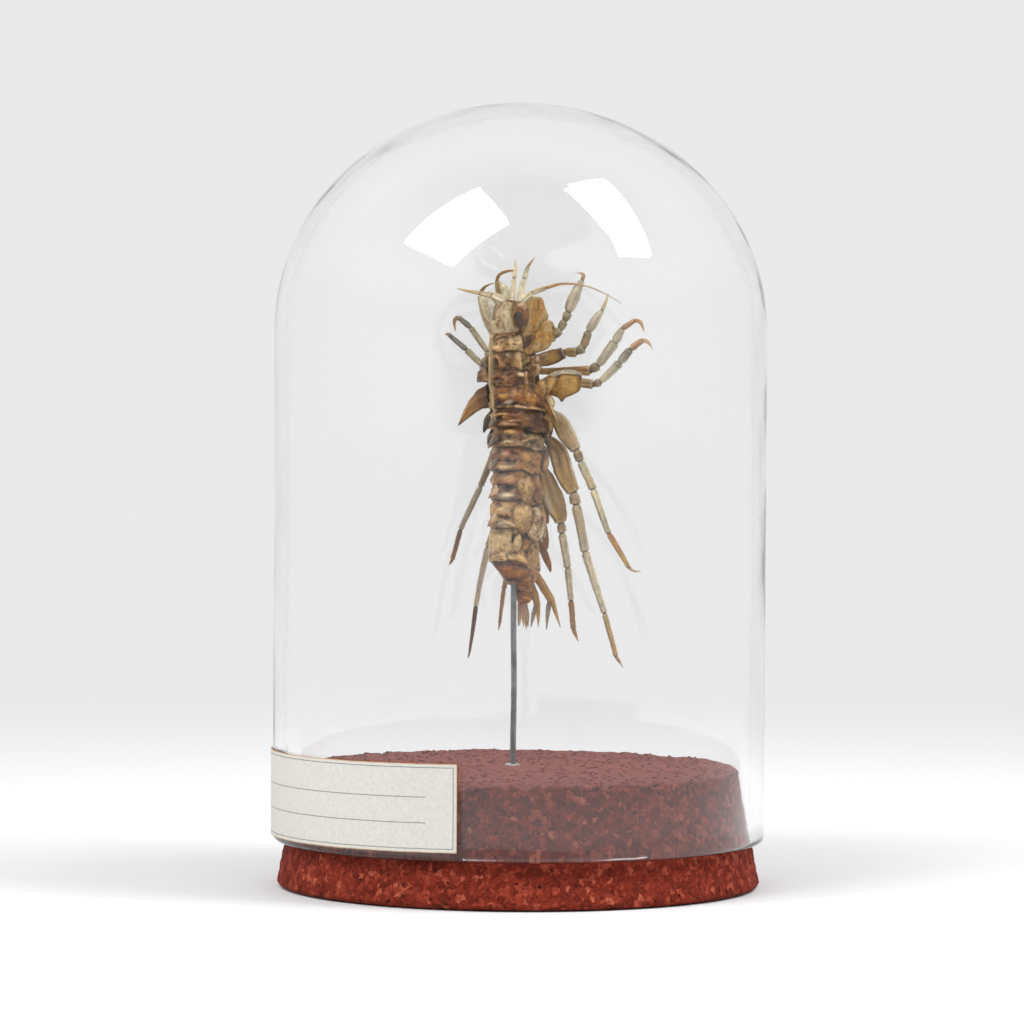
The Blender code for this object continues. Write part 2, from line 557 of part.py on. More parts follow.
def make_growths(growths):
    """Horns, lobes, coxal plates, keel teeth, tail spikes and eyes that grow out of the trunk."""
    for side in (1.0, -1.0):
        tag = "right" if side > 0.0 else "left"
        for name, rows in FLANK_GROWTHS.items():
            stations = [(on_body(z, side * out, back), width) for z, out, back, width in rows]
            loft(f"{name}_{tag}", stations, 6, BACK_SIDE, 2.0, growths)
        for name, rows in COXAL_PLATES.items():
            stations = [(on_body(z, side * out, back), width) for z, out, back, width in rows]
            loft(f"{name}_{tag}", stations, 6, RIGHT_SIDE, PLATE_THICKNESS, growths)
        eye = bmesh.new()
        bmesh.ops.create_uvsphere(eye, u_segments=6, v_segments=5, radius=EYE_RADIUS * MM)
        mesh = bpy.data.meshes.new(f"eye_{tag}")
        eye.to_mesh(mesh)
        eye.free()
        bead = new_object(f"eye_{tag}", mesh, growths)
        bead.location = on_body(EYE_Z, side * EYE_SIDEWAYS, EYE_BACKWARDS) * MM
    for name, (z, reach, root) in KEEL_TEETH.items():
        back = back_at(z)
        stations = [
            (on_body(z + root * 0.3, 0.0, back - 1.2), root),
            (on_body(z, 0.0, back - 0.1), root * 0.55),
            (on_body(z - root * 0.45, 0.0, back + reach), 0.16),
        ]
        loft(name, stations, 5, RIGHT_SIDE, 0.6, growths)
    for index, tip in enumerate(TAIL_SPIKES):
        end = Vector(tip)
        root = end + (centre_at(TAIL_SPIKE_ROOT_Z) - end) * 0.9
        root.z = TAIL_SPIKE_ROOT_Z
        middle = root.lerp(end, 0.4)
        stations = [(root, TAIL_SPIKE_WIDTH), (middle, TAIL_SPIKE_WIDTH), (end, 0.14)]
        loft(f"tail_spike_{index + 1}", stations, 5, Vector((0.0, 1.0, 0.0)), 0.6, growths)


def make_trunk(collection, growths, cutters, material):
    """Head, armoured segments and tail in one piece, with a blind hole for the pin."""
    rings = [body_section(ring) for ring in trunk_rings()]
    trunk = new_object("trunk", rings_to_mesh("trunk", rings), collection, material)
    make_growths(growths)
    for growth in growths.objects:
        as_cutter(growth)
    boolean(trunk, growths, "UNION")
    hole = cylinder("trunk_pin_hole", PIN_DIAMETER / 2 + PIN_CLEARANCE, 47.5,
                    PIN_TOP_Z + PIN_CLEARANCE, PIN_X, PIN_Y, 12, cutters)
    boolean(trunk, as_cutter(hole), "DIFFERENCE")
    return trunk


def make_seat(cutters):
    """Swollen copy of the plain trunk that trims the limbs to a small gap."""
    rings = [body_section(ring, SEAT_GAP) for ring in trunk_rings()]
    return as_cutter(new_object("limb_seat", rings_to_mesh("limb_seat", rings), cutters))


def make_limb(name, rows, sides, facing, seat, collection, material):
    stations = rounded(limb_stations(rows))
    limb = loft(name, stations, sides, facing, LEG_THICKNESS_MAX, collection, material)
    boolean(limb, seat, "DIFFERENCE")
    return limb


def make_uropods(seat, collection, forks, material):
    """A stalk with two prongs on each side of the tail."""
    facing = Vector((0.4, -0.9, 0.0))
    for name, parts in UROPODS.items():
        for side in ("right", "left"):
            loaded = []
            for part in parts:
                points = [Vector(row[:3]) for row in part]
                if side == "left":
                    points = [mirrored(point) for point in points]
                loaded.append([(point, row[3]) for point, row in zip(points, part)])
            stalk = loft(f"{name}_{side}", loaded[0], LEG_SIDES, facing, LEG_THICKNESS_MAX,
                         collection, material)
            for index, stations in enumerate(loaded[1:]):
                prong = loft(f"{name}_{side}_prong_{index + 1}", stations, FINE_SIDES, facing,
                             LEG_THICKNESS_MAX, forks)
                boolean(stalk, as_cutter(prong), "UNION")
            boolean(stalk, seat, "DIFFERENCE")


def make_pleopods(seat, collection, material):
    """Soft paddles that hang under the pleon."""
    for name, (z, out, drop) in PLEOPODS.items():
        for side, tag in ((1.0, "right"), (-1.0, "left")):
            stations = []
            for share, width in ((0.0, 1.2), (0.35, PLEOPOD_WIDTH), (0.75, PLEOPOD_WIDTH * 0.8), (1.0, 0.3)):
                backwards = PLEOPOD_ROOT_BACKWARDS - PLEOPOD_REACH * share ** 0.6
                stations.append((on_body(z - drop * share, side * out, backwards), width))
            paddle = loft(f"{name}_{tag}", stations, LEG_SIDES, BACK_SIDE, 0.5, collection, material)
            boolean(paddle, seat, "DIFFERENCE")


def main():
    clear_scene()
    parts = new_collection("amphipod_in_glass_dome")
    cutters = new_collection("cutters")
    growths = new_collection("trunk_growths")

    cork = new_material("stained_agglomerated_cork", (0.22, 0.07, 0.05), 0.85)
    glass = new_material("clear_glass", (0.95, 0.97, 0.97), 0.02, transmission=1.0)
    paper = new_material("cream_paper", (0.77, 0.76, 0.70), 0.8)
    steel = new_material("pin_steel", (0.35, 0.36, 0.37), 0.35, metallic=1.0)
    shell = new_material("dried_shell", (0.24, 0.14, 0.06), 0.45)
    horn = new_material("pale_leg_shell", (0.45, 0.40, 0.28), 0.45)

    make_cork(parts, cutters, cork)
    make_dome(parts, glass)
    make_label(parts, paper)
    make_pin(parts, steel)
    make_trunk(parts, growths, cutters, shell)
    seat = make_seat(cutters)
    right_facing = Vector((0.5, -0.866, 0.0))
    left_facing = -RIGHT_SIDE
    for name, rows in RIGHT_LEGS.items():
        make_limb(name, rows, LEG_SIDES, right_facing, seat, parts, horn)
    for name, rows in LEFT_LEGS.items():
        make_limb(name, rows, LEG_SIDES, left_facing, seat, parts, horn)
    for name, rows in ANTENNAE.items():
        make_limb(name, rows, FINE_SIDES, Vector((0.0, -1.0, 0.1)), seat, parts, horn)
    make_uropods(seat, parts, cutters, horn)
    make_pleopods(seat, parts, horn)


main()
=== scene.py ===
"""Looks of a dried spiny amphipod on a steel pin, under a glass dome that stands on a stained cork.

Lengths are millimetres until a mesh is made.  The origin is the middle of the cork's underside, +Z is up,
-Y is the side towards the camera, and +X is to its right.
"""
import math

import bpy
import numpy as np
from mathutils import Matrix, Vector, noise


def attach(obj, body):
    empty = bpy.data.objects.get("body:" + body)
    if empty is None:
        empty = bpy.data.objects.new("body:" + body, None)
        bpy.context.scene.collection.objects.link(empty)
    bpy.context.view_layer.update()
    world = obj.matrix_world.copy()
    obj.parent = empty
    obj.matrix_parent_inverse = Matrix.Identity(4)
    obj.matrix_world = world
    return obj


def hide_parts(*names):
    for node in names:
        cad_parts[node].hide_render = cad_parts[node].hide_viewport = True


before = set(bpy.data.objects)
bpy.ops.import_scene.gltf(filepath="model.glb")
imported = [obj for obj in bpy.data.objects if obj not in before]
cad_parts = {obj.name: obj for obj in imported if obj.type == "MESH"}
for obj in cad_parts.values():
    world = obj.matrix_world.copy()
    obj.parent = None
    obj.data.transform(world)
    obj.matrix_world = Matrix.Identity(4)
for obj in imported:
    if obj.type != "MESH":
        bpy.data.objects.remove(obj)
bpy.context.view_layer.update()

MM = 0.001
SEED = 7

# Camera of the photograph: how far, how high, how it is tilted, and its lens on a 36 mm sensor
CAMERA_PLACE = (-1.3, -743.0, 82.0)
CAMERA_DOWN_DEG = 1.65
CAMERA_ROLL_DEG = 0.33
CAMERA_LENS = 160.6
CAMERA_SENSOR = 36.0

# Cork stopper
CORK_HEIGHT = 19.2
CORK_BOTTOM_RADIUS = 39.4
CORK_TOP_RADIUS = 35.6
CORK_EDGE = 1.0
# Its worn lower edge: how far in, as a share of the edge, at what z
CORK_WEAR = ((0.6, 0.12), (0.3, 0.35), (0.12, 0.65))

# Glass dome
DOME_RADIUS = 40.0
DOME_WALL = 2.0
DOME_RIM_Z = 7.3
DOME_SHOULDER_Z = 90.2
DOME_TOP_Z = 127.0

# Paper label round the left side of the glass
LABEL_START_DEG = 13.7
LABEL_END_DEG = 91.0
LABEL_BOTTOM_Z = 8.9
LABEL_HEIGHT = 13.8
LABEL_DROP = 0.6
LABEL_THICKNESS = 0.15
LABEL_GAP = 0.15
LABEL_LENGTH = math.radians(LABEL_END_DEG - LABEL_START_DEG) * (DOME_RADIUS + LABEL_GAP)
FRAME_INSET = 0.6
LINE_WIDTH = 0.16
RULED_LINES = (1.7, -2.3)
RULE_INSET = 4.5
EDGE_STAIN = 0.12

# Steel pin
PIN_RADIUS = 0.48
PIN_X = -0.9
PIN_Y = 1.3
PIN_BOTTOM_Z = 9.0
PIN_TOP_Z = 57.0

# The animal hangs head up, with its back turned this far to the left of the camera
TURN = math.radians(38.0)
RIGHT_SIDE = np.array((math.cos(TURN), -math.sin(TURN), 0.0))
BACK_SIDE = np.array((-math.sin(TURN), -math.cos(TURN), 0.0))
LEG_FACING = np.array((0.5, -0.866, 0.0))
ANTENNA_FACING = np.array((0.0, -1.0, 0.1))
UROPOD_FACING = np.array((0.4, -0.9, 0.0))
TO_REAR = np.array((0.0, 1.0, 0.0))
UP = np.array((0.0, 0.0, 1.0))

# Finishes of the dried shell, as sRGB
TINTS = {
    "joint_dark": "3B2B1D",
    "umber": "523A24",
    "brown": "6F5033",
    "warm_brown": "83603A",
    "red_brown": "875A3B",
    "rust": "A16B3C",
    "brick": "94523A",
    "ochre": "A88243",
    "amber": "B2863F",
    "gold": "BF9A52",
    "golden_beige": "B4A077",
    "tan": "AC8E68",
    "orange_tan": "C08A52",
    "peach": "D0A27A",
    "beige": "CBB78F",
    "cream": "DDD2B4",
    "bone": "D4CCB4",
    "grey_shell": "BCB5A1",
    "green_grey": "ABA88C",
    "olive": "80724B",
    "slate": "8F8C8A",
    "steel_blue": "9AA0AA",
    "dark_grey": "5C564A",
    "plum": "4C3236",
    "pink_beige": "C4A48C",
    "pink_grey": "BFAE9B",
    "white_shell": "DAD6CC",
    "blue_black": "2E2F36",
}

# Shape and fineness of the trunk's rings
KEEL_HEIGHT = 0.45
KEEL_WIDTH = 0.36
EGG_SHAPE = 0.15
LIP_DROP = 0.15
FRONT_TUCK = 0.9
TRUNK_STEP = 0.145
TRUNK_POINTS = 184
# Steps into the hinge behind each segment: drop in mm, size
HINGE_STEPS = ((0.03, 0.96), (0.03, 0.93), (0.0, 0.88))
HEAD_ROWS = 46
TAIL_ROWS = 64
# How far the flanks sag below the back, by -z
SAG_PLACES = (-90.0, -72.0, -67.0, -58.0, -53.0, -47.0)
SAG_DROPS = (0.0, 0.4, 0.9, 1.4, 1.3, 0.0)

# Trunk segments: front z, rear z, middle x, middle y, half width, back, belly
SEGMENTS = {
    "pereon_1": (89.7, 86.6, -2.5, -0.6, 3.9, 4.2, 4.6),
    "pereon_2": (86.6, 83.7, -2.25, -0.3, 4.2, 4.5, 4.8),
    "pereon_3": (83.7, 81.1, -1.9, 0.1, 4.5, 5.0, 5.0),
    "pereon_4": (81.1, 77.5, -1.5, 0.6, 5.1, 5.5, 5.0),
    "pereon_5": (77.5, 74.3, -1.45, 0.6, 5.0, 5.4, 5.2),
    "pereon_6": (74.3, 71.2, -1.45, 0.6, 4.8, 5.3, 5.2),
    "pereon_7": (71.2, 67.4, -1.5, 0.6, 4.5, 4.9, 5.2),
    "pleon_1": (67.4, 62.7, -1.4, 0.6, 4.2, 5.0, 5.6),
    "pleon_2": (62.7, 58.0, -1.4, 0.6, 4.3, 5.3, 6.1),
    "pleon_3": (58.0, 52.8, -1.4, 0.7, 4.2, 5.2, 6.0),
}
PART_NAMES = ["head", *SEGMENTS, "tail"]

# Rings of the head and of the tail: z, middle x, middle y, half width, back, belly
HEAD_RINGS = (
    (95.6, -2.2, -0.3, 1.2, 1.1, 1.4), (95.0, -2.2, -0.4, 2.2, 1.9, 2.6),
    (93.4, -2.4, -0.6, 3.0, 2.8, 3.7), (91.4, -2.4, -0.6, 3.2, 3.2, 3.9),
    (89.9, -2.5, -0.6, 3.3, 3.5, 3.9))
TAIL_RINGS = (
    (52.6, -1.0, 1.2, 3.2, 3.9, 4.4), (50.8, -0.8, 1.5, 3.1, 2.9, 4.0), (48.7, -0.7, 1.6, 2.7, 1.7, 3.6),
    (48.5, 0.2, 2.7, 2.1, 0.9, 2.5), (47.2, 0.3, 2.8, 2.2, 0.9, 2.5), (47.0, 0.4, 2.9, 1.6, 0.8, 2.0),
    (45.9, 0.6, 3.1, 1.6, 0.8, 2.0), (45.2, 0.7, 3.2, 0.9, 0.5, 1.2))

# Growths on both flanks as rows of z, sideways, backwards, width; each is mirrored
FLANK_GROWTHS = {
    "horn_4": (
        (79.4, 4.0, 0.6, 3.9), (78.9, 5.6, 0.9, 3.2), (77.8, 7.1, 1.1, 2.3), (76.3, 8.7, 1.1, 1.3),
        (74.6, 10.3, 1.1, 0.16)),
    "lobe_2": ((85.0, 3.5, 0.6, 2.0), (84.6, 4.4, 0.6, 1.5), (84.1, 5.0, 0.6, 0.3)),
    "lobe_3": ((82.9, 3.7, 0.6, 2.4), (82.5, 5.1, 0.6, 2.2), (81.7, 6.2, 0.6, 0.4)),
    "horn_5": (
        (76.3, 2.6, 0.9, 2.6), (75.4, 3.8, 1.0, 1.9), (74.4, 4.6, 1.0, 1.0), (73.5, 5.0, 1.0, 0.2)),
    "horn_6": ((73.2, 2.4, 1.2, 2.2), (72.5, 3.3, 1.2, 1.4), (71.5, 4.0, 1.2, 0.2)),
}
GROWTH_TINTS = {
    "horn_4": "umber warm_brown tan gold ochre umber",
    "lobe_2": "grey_shell dark_grey dark_grey",
    "lobe_3": "pink_grey warm_brown dark_grey",
    "horn_5": "dark_grey dark_grey umber",
    "horn_6": "dark_grey brown umber",
}
# Growths that the right flank has as well, and coxal plates with a pale root
RIGHT_GROWTHS = ("horn_5", "horn_6")
PALE_COXAE = ("coxa_1", "coxa_2")
COXAL_PLATES = {
    "coxa_1": (
        (88.2, 3.2, -1.0, 2.2), (90.6, 3.9, -2.6, 4.7), (93.0, 3.9, -3.3, 5.6), (94.8, 3.7, -3.3, 4.2),
        (95.7, 3.5, -3.2, 1.8)),
    "coxa_2": (
        (86.0, 3.7, -1.4, 2.5), (87.3, 4.2, -3.4, 4.2), (89.5, 4.3, -5.2, 4.2), (91.3, 4.2, -6.2, 2.8),
        (92.2, 4.1, -6.6, 0.8)),
    "coxa_3": ((83.1, 3.85, -1.25, 2.4), (83.55, 4.55, -2.65, 2.6), (83.95, 4.55, -3.6, 1.0)),
    "coxa_4": ((80.2, 4.3, -1.2, 2.8), (80.4, 5.2, -2.6, 2.8), (80.8, 5.2, -3.5, 1.0)),
    "coxa_5": (
        (78.2, 4.3, -1.6, 2.2), (77.9, 5.1, -3.2, 2.6), (77.5, 5.1, -4.2, 1.9), (77.1, 5.0, -4.8, 0.6)),
    "coxa_6": ((74.4, 4.1, -1.6, 1.8), (74.0, 4.9, -2.8, 2.0), (73.4, 4.9, -3.6, 0.8)),
    "coxa_7": ((70.6, 3.9, -1.6, 1.8), (70.0, 4.6, -2.8, 2.0), (69.4, 4.6, -3.6, 0.8)),
}
PLATE_THICKNESS = 0.5

# Teeth of the keel: z of the root's middle, reach past the keel, length of the root
KEEL_TEETH = (
    (75.0, 0.7, 1.8), (72.0, 1.0, 2.2), (68.4, 0.6, 1.6), (63.7, 1.1, 1.9), (59.2, 1.1, 1.9),
    (54.2, 0.7, 1.6))

# Three short spikes past the last segment: tip x, y, z
TAIL_SPIKES = ((0.1, 2.6, 42.1), (0.8, 3.3, 41.8), (1.4, 3.6, 42.6))
TAIL_SPIKE_ROOT_Z = 45.9
TAIL_SPIKE_WIDTH = 0.75

# Middle of the right eye, and its beads: shift from that middle, radii, tint
EYE_PLACE = (-0.3, -3.4, 92.2)
EYE_BEADS = (
    ((0.0, -0.05, -0.45), (0.9, 0.55, 1.05), "umber"), ((-0.05, -0.3, 0.4), (0.62, 0.55, 0.55),
    "blue_black"), ((0.4, -0.05, -0.1), (0.5, 0.45, 0.55), "brown"))

# Limbs as rows of x, y, z, width from root to tip; a row with "joint" ends an article
LIMBS = {
    "gnathopod_1_right": (
        (2.8, 2.5, 87.8, 1.0), (5.6, 3.8, 89.2, 1.35, "joint"), (6.5, 4.2, 90.4, 1.5, "joint"),
        (7.3, 4.6, 91.8, 1.3, "joint"), (7.8, 4.8, 93.2, 1.45, "joint"), (8.4, 4.9, 95.0, 2.1),
        (9.2, 5.0, 96.9, 1.7), (10.0, 5.0, 98.6, 0.9, "joint"), (10.15, 5.0, 99.6, 0.6),
        (9.2, 5.0, 99.95, 0.12)),
    "gnathopod_2_right": (
        (2.2, 2.3, 84.9, 1.6), (4.8, 2.8, 85.7, 2.5), (7.2, 2.8, 86.7, 1.7, "joint"),
        (9.2, 2.9, 86.8, 1.5, "joint"), (10.3, 3.0, 87.6, 1.5, "joint"), (11.0, 3.2, 90.0, 1.3, "joint"),
        (12.0, 3.4, 91.7, 1.65), (13.25, 3.5, 93.5, 0.8, "joint"), (13.8, 3.5, 94.9, 0.5),
        (14.2, 3.5, 96.3, 0.12)),
    "pereopod_3_right": (
        (3.2, 2.6, 83.5, 1.1), (5.6, 3.8, 83.5, 1.2), (11.4, 3.6, 83.9, 1.65, "joint"),
        (12.6, 3.4, 84.8, 1.45, "joint"), (15.2, 2.8, 88.4, 1.8, "joint"),
        (16.4, 2.5, 90.6, 1.1, "joint"), (18.5, 2.0, 92.0, 0.75, "joint"), (19.3, 1.9, 91.6, 0.6),
        (19.9, 1.9, 90.1, 0.12)),
    "pereopod_4_right": (
        (3.3, 1.6, 81.4, 1.2), (5.2, 2.2, 81.3, 1.4), (7.3, 2.0, 81.2, 1.4),
        (9.4, 1.4, 81.8, 1.7, "joint"), (11.8, 0.8, 81.5, 1.5, "joint"), (13.0, 0.5, 82.0, 1.2, "joint"),
        (16.0, -0.2, 85.1, 1.6, "joint"), (17.7, -0.6, 87.2, 1.3, "joint"),
        (19.5, -0.8, 88.7, 0.9, "joint"), (20.4, -0.9, 88.4, 0.6), (21.3, -1.0, 87.1, 0.12)),
    "pereopod_5_right": (
        (4.2, 1.8, 77.0, 1.4), (6.3, 2.0, 75.3, 2.7), (7.6, 1.4, 73.0, 3.0),
        (9.1, 0.6, 70.7, 1.7, "joint"), (9.8, 0.2, 68.9, 1.4, "joint"),
        (11.8, -0.8, 64.4, 1.35, "joint"), (14.5, -2.2, 57.2, 1.0, "joint"),
        (17.5, -3.2, 51.8, 0.75, "joint"), (18.5, -3.3, 51.2, 0.4), (19.7, -3.4, 51.2, 0.12)),
    "pereopod_6_right": (
        (4.2, 2.0, 72.9, 1.4), (6.0, 2.6, 70.5, 3.3), (6.9, 2.5, 67.8, 3.8), (7.9, 2.4, 65.3, 3.2),
        (8.7, 2.3, 63.7, 2.0, "joint"), (9.0, 2.3, 61.8, 1.65, "joint"), (10.7, 2.4, 54.1, 1.5, "joint"),
        (13.9, 2.8, 44.2, 1.0, "joint"), (15.8, 3.0, 37.0, 0.75, "joint"), (17.1, 3.0, 35.2, 0.12)),
    "pereopod_7_right": (
        (3.4, 2.2, 68.0, 1.4), (4.4, 2.9, 65.5, 2.8), (5.4, 3.1, 62.6, 3.9), (6.3, 3.2, 60.1, 3.0),
        (6.6, 3.3, 58.8, 1.8, "joint"), (6.8, 3.5, 57.2, 1.4, "joint"), (7.9, 4.4, 51.4, 1.3, "joint"),
        (8.5, 5.4, 46.1, 1.05, "joint"), (8.9, 6.0, 41.3, 0.95, "joint"), (9.7, 6.2, 39.3, 0.12)),
    "gnathopod_1_left": (
        (-0.8, 5.3, 87.8, 1.0), (0.3, 8.6, 88.6, 1.4, "joint"), (-0.9, 9.8, 90.6, 1.4, "joint"),
        (-2.4, 10.0, 93.2, 1.3, "joint"), (-3.6, 10.0, 95.7, 1.3, "joint"),
        (-4.1, 10.0, 98.5, 0.8, "joint"), (-3.5, 10.0, 99.6, 0.6), (-1.8, 10.0, 100.1, 0.45),
        (-0.5, 10.0, 99.9, 0.12)),
    "gnathopod_2_left": (
        (-0.8, 4.8, 85.0, 1.2), (-0.2, 7.6, 85.3, 1.6), (-2.0, 9.6, 86.6, 1.3, "joint"),
        (-4.0, 10.1, 88.6, 1.2, "joint"), (-5.1, 10.2, 90.2, 1.2, "joint"), (-6.3, 10.2, 93.3, 1.3),
        (-7.0, 10.2, 95.9, 0.8, "joint"), (-6.2, 10.2, 97.3, 0.5), (-4.6, 10.2, 98.1, 0.12)),
    "pereopod_3_left": (
        (-2.1, 5.5, 82.4, 1.2), (-4.3, 9.4, 82.8, 1.6, "joint"), (-4.9, 10.2, 84.0, 1.3, "joint"),
        (-5.6, 10.5, 86.7, 1.2, "joint"), (-8.6, 11.0, 90.7, 1.1, "joint"),
        (-10.7, 11.4, 92.4, 0.9, "joint"), (-11.2, 11.4, 91.6, 0.6), (-11.0, 11.4, 90.1, 0.12)),
    "pereopod_4_left": (
        (-1.4, 5.9, 80.0, 1.3), (-2.8, 8.4, 80.4, 3.4), (-4.4, 10.0, 81.2, 2.0, "joint"),
        (-5.5, 10.3, 82.4, 1.3, "joint"), (-6.6, 10.4, 84.4, 1.2, "joint"),
        (-9.2, 10.8, 87.0, 1.1, "joint"), (-12.2, 11.2, 89.7, 0.7, "joint"), (-12.7, 11.2, 89.5, 0.12)),
    "pereopod_5_left": (
        (-2.1, 6.2, 76.5, 1.4), (-2.6, 8.2, 74.8, 2.9), (-3.3, 9.9, 72.4, 2.5),
        (-4.1, 10.8, 70.4, 1.5, "joint"), (-6.6, 12.5, 64.4, 1.25, "joint"),
        (-9.9, 14.5, 57.3, 0.95, "joint"), (-11.3, 16.0, 52.2, 0.75, "joint"),
        (-11.8, 16.3, 51.3, 0.12)),
    "pereopod_6_left": (
        (-1.8, 6.4, 73.0, 1.4), (-1.6, 8.6, 70.2, 3.2), (-1.7, 10.0, 66.8, 3.4),
        (-2.0, 10.9, 64.2, 1.8, "joint"), (-2.6, 11.4, 62.4, 1.5, "joint"),
        (-5.2, 14.0, 54.6, 1.25, "joint"), (-7.3, 17.0, 44.5, 1.0, "joint"),
        (-8.3, 19.0, 36.6, 0.5, "joint"), (-8.6, 19.4, 35.6, 0.12)),
    "pereopod_7_left": (
        (-1.3, 6.6, 68.6, 1.4), (-0.9, 8.6, 65.6, 3.2), (-0.6, 9.8, 62.2, 3.2),
        (-0.5, 10.4, 60.0, 1.7, "joint"), (-0.7, 10.9, 58.4, 1.4, "joint"),
        (-1.3, 12.4, 53.0, 1.2, "joint"), (-2.5, 14.0, 47.4, 0.9, "joint"),
        (-3.2, 15.5, 41.7, 0.6, "joint"), (-3.4, 15.8, 40.6, 0.12)),
    "antenna_1_right": (
        (0.9, -2.4, 95.4, 1.1), (1.85, -2.0, 96.2, 0.95, "joint"), (4.1, -1.6, 97.0, 0.6, "joint"),
        (6.8, -2.2, 97.7, 0.42), (10.2, -2.6, 97.4, 0.3), (13.3, -2.7, 96.2, 0.22),
        (16.1, -2.7, 94.6, 0.12)),
    "antenna_1_left": (
        (-3.6, -1.9, 95.3, 1.25), (-4.7, -1.4, 95.8, 1.1, "joint"), (-6.7, 0.9, 96.1, 0.7, "joint"),
        (-8.6, 1.6, 96.4, 0.45), (-10.5, 2.2, 96.8, 0.14)),
    "antenna_2_right": (
        (-0.05, -1.9, 95.7, 1.05), (0.6, -0.4, 98.4, 1.05, "joint"), (1.2, 1.8, 100.5, 0.6, "joint"),
        (2.35, 2.0, 102.2, 0.14)),
    "antenna_2_left": (
        (-1.25, -1.6, 96.0, 0.9), (-1.1, -0.2, 98.5, 0.75, "joint"), (-0.9, 1.7, 100.1, 0.65),
        (-0.9, 1.8, 101.8, 0.14)),
}

# Tints of each article, at its root and at its end
LIMB_TINTS = {
    "gnathopod_1_right": "brown-olive olive-green_grey green_grey-olive olive-green_grey "
                         "bone-grey_shell tan-peach",
    "gnathopod_2_right": "golden_beige-amber ochre-olive olive-green_grey tan-olive "
                         "grey_shell-bone cream-peach",
    "pereopod_3_right": "ochre-amber olive-tan grey_shell-bone bone-grey_shell tan-orange_tan "
                        "orange_tan-peach",
    "pereopod_4_right": "gold-amber ochre-olive olive-tan bone-grey_shell grey_shell-dark_grey "
                        "tan-orange_tan peach-cream",
    "pereopod_5_right": "ochre-golden_beige tan-brown green_grey-beige cream-green_grey "
                        "orange_tan-gold peach-cream",
    "pereopod_6_right": "ochre-gold beige-tan beige-grey_shell cream-bone beige-gold orange_tan-cream",
    "pereopod_7_right": "gold-gold tan-beige cream-bone bone-cream orange_tan-tan orange_tan-peach",
    "gnathopod_1_left": "grey_shell-bone bone-beige bone-cream cream-beige beige-ochre ochre-amber",
    "gnathopod_2_left": "grey_shell-bone bone-grey_shell beige-bone cream-bone brown-ochre",
    "pereopod_3_left": "grey_shell-green_grey green_grey-slate green_grey-grey_shell "
                       "bone-green_grey slate-dark_grey orange_tan-peach",
    "pereopod_4_left": "grey_shell-bone green_grey-slate bone-grey_shell bone-green_grey "
                       "slate-dark_grey tan-orange_tan",
    "pereopod_5_left": "tan-beige tan-olive green_grey-grey_shell brown-orange_tan tan-peach",
    "pereopod_6_left": "grey_shell-bone bone-cream cream-grey_shell white_shell-cream "
                       "umber-red_brown tan-brown",
    "pereopod_7_left": "beige-bone bone-cream cream-bone orange_tan-tan orange_tan-tan peach-tan",
    "antenna_1_right": "bone-cream cream-tan orange_tan-grey_shell",
    "antenna_1_left": "bone-cream cream-beige beige-gold",
    "antenna_2_right": "cream-bone bone-olive tan-peach",
    "antenna_2_left": "bone-beige beige-cream",
}

LEG_FLATNESS = 0.85
LEG_THICKNESS_MAX = 1.25

# Fineness of limbs, blades and plates
LIMB_SIDES = 30
LIMB_STEP = 0.2
BLADE_STEP = 0.16
PLATE_POINTS = 84
PLATE_ROWS = 16
CORK_SIDES = 460

# Right uropods: a stalk, then two prongs that start from its end; the left ones are mirrored
UROPODS = {
    "uropod_1": (
        ((1.9, 2.4, 51.4, 1.2), (3.4, 3.1, 49.0, 1.45), (5.2, 4.0, 46.1, 1.3)), ((5.0, 4.2, 46.4, 0.8),
        (4.7, 4.5, 44.4, 0.85), (4.55, 4.7, 41.3, 0.14)), ((5.3, 3.9, 46.3, 0.8), (5.9, 3.9, 44.3, 0.7),
        (6.75, 3.9, 41.7, 0.14))),
    "uropod_2": (
        ((1.5, 3.0, 49.6, 1.0), (2.4, 3.4, 47.4, 1.1), (2.9, 3.8, 45.3, 1.1)), ((2.7, 4.0, 45.6, 0.7),
        (2.3, 4.2, 43.7, 0.75), (1.95, 4.3, 41.8, 0.14)), ((3.0, 3.7, 45.5, 0.7), (3.1, 3.8, 43.8, 0.65),
        (3.15, 3.9, 41.8, 0.14))),
}
# Tints of the stalk and the two prongs, from root to tip
UROPOD_TINTS = ("ochre amber gold", "slate pink_grey tan", "amber gold beige")

# Swimming limbs under the pleon: z of the root, sideways, and how far the tip hangs below the root
PLEOPODS = {
    "pleopod_1": (65.2, 1.2, 6.6),
    "pleopod_2": (61.2, 1.2, 6.8),
    "pleopod_3": (57.0, 1.2, 6.4),
}
PLEOPOD_ROOT_BACKWARDS = -4.6
PLEOPOD_REACH = 3.4
PLEOPOD_WIDTH = 1.7
ROOT_BURY = 1.4

# The dried trunk itself is slimmer than its outline with plates: half width, back and belly at size 1,
# turned a little further than the limbs, with a roof-shaped back
TRUNK_TURN = math.radians(46.0)
TRUNK_HALF = 4.5
TRUNK_BACK = 4.6
TRUNK_BELLY = 5.0
ROOF_POWER = 1.6
TRUNK_SIZES = {
    "pereon_1": (-2.6, 0.68),
    "pereon_2": (-2.2, 0.75),
    "pereon_3": (-1.9, 0.87),
    "pereon_4": (-1.1, 1.04),
    "pereon_5": (-1.05, 1.0),
    "pereon_6": (-0.95, 0.96),
    "pereon_7": (-1.3, 0.93),
    "pleon_1": (-1.25, 0.89),
    "pleon_2": (-1.05, 1.01),
    "pleon_3": (-1.5, 0.9),
}

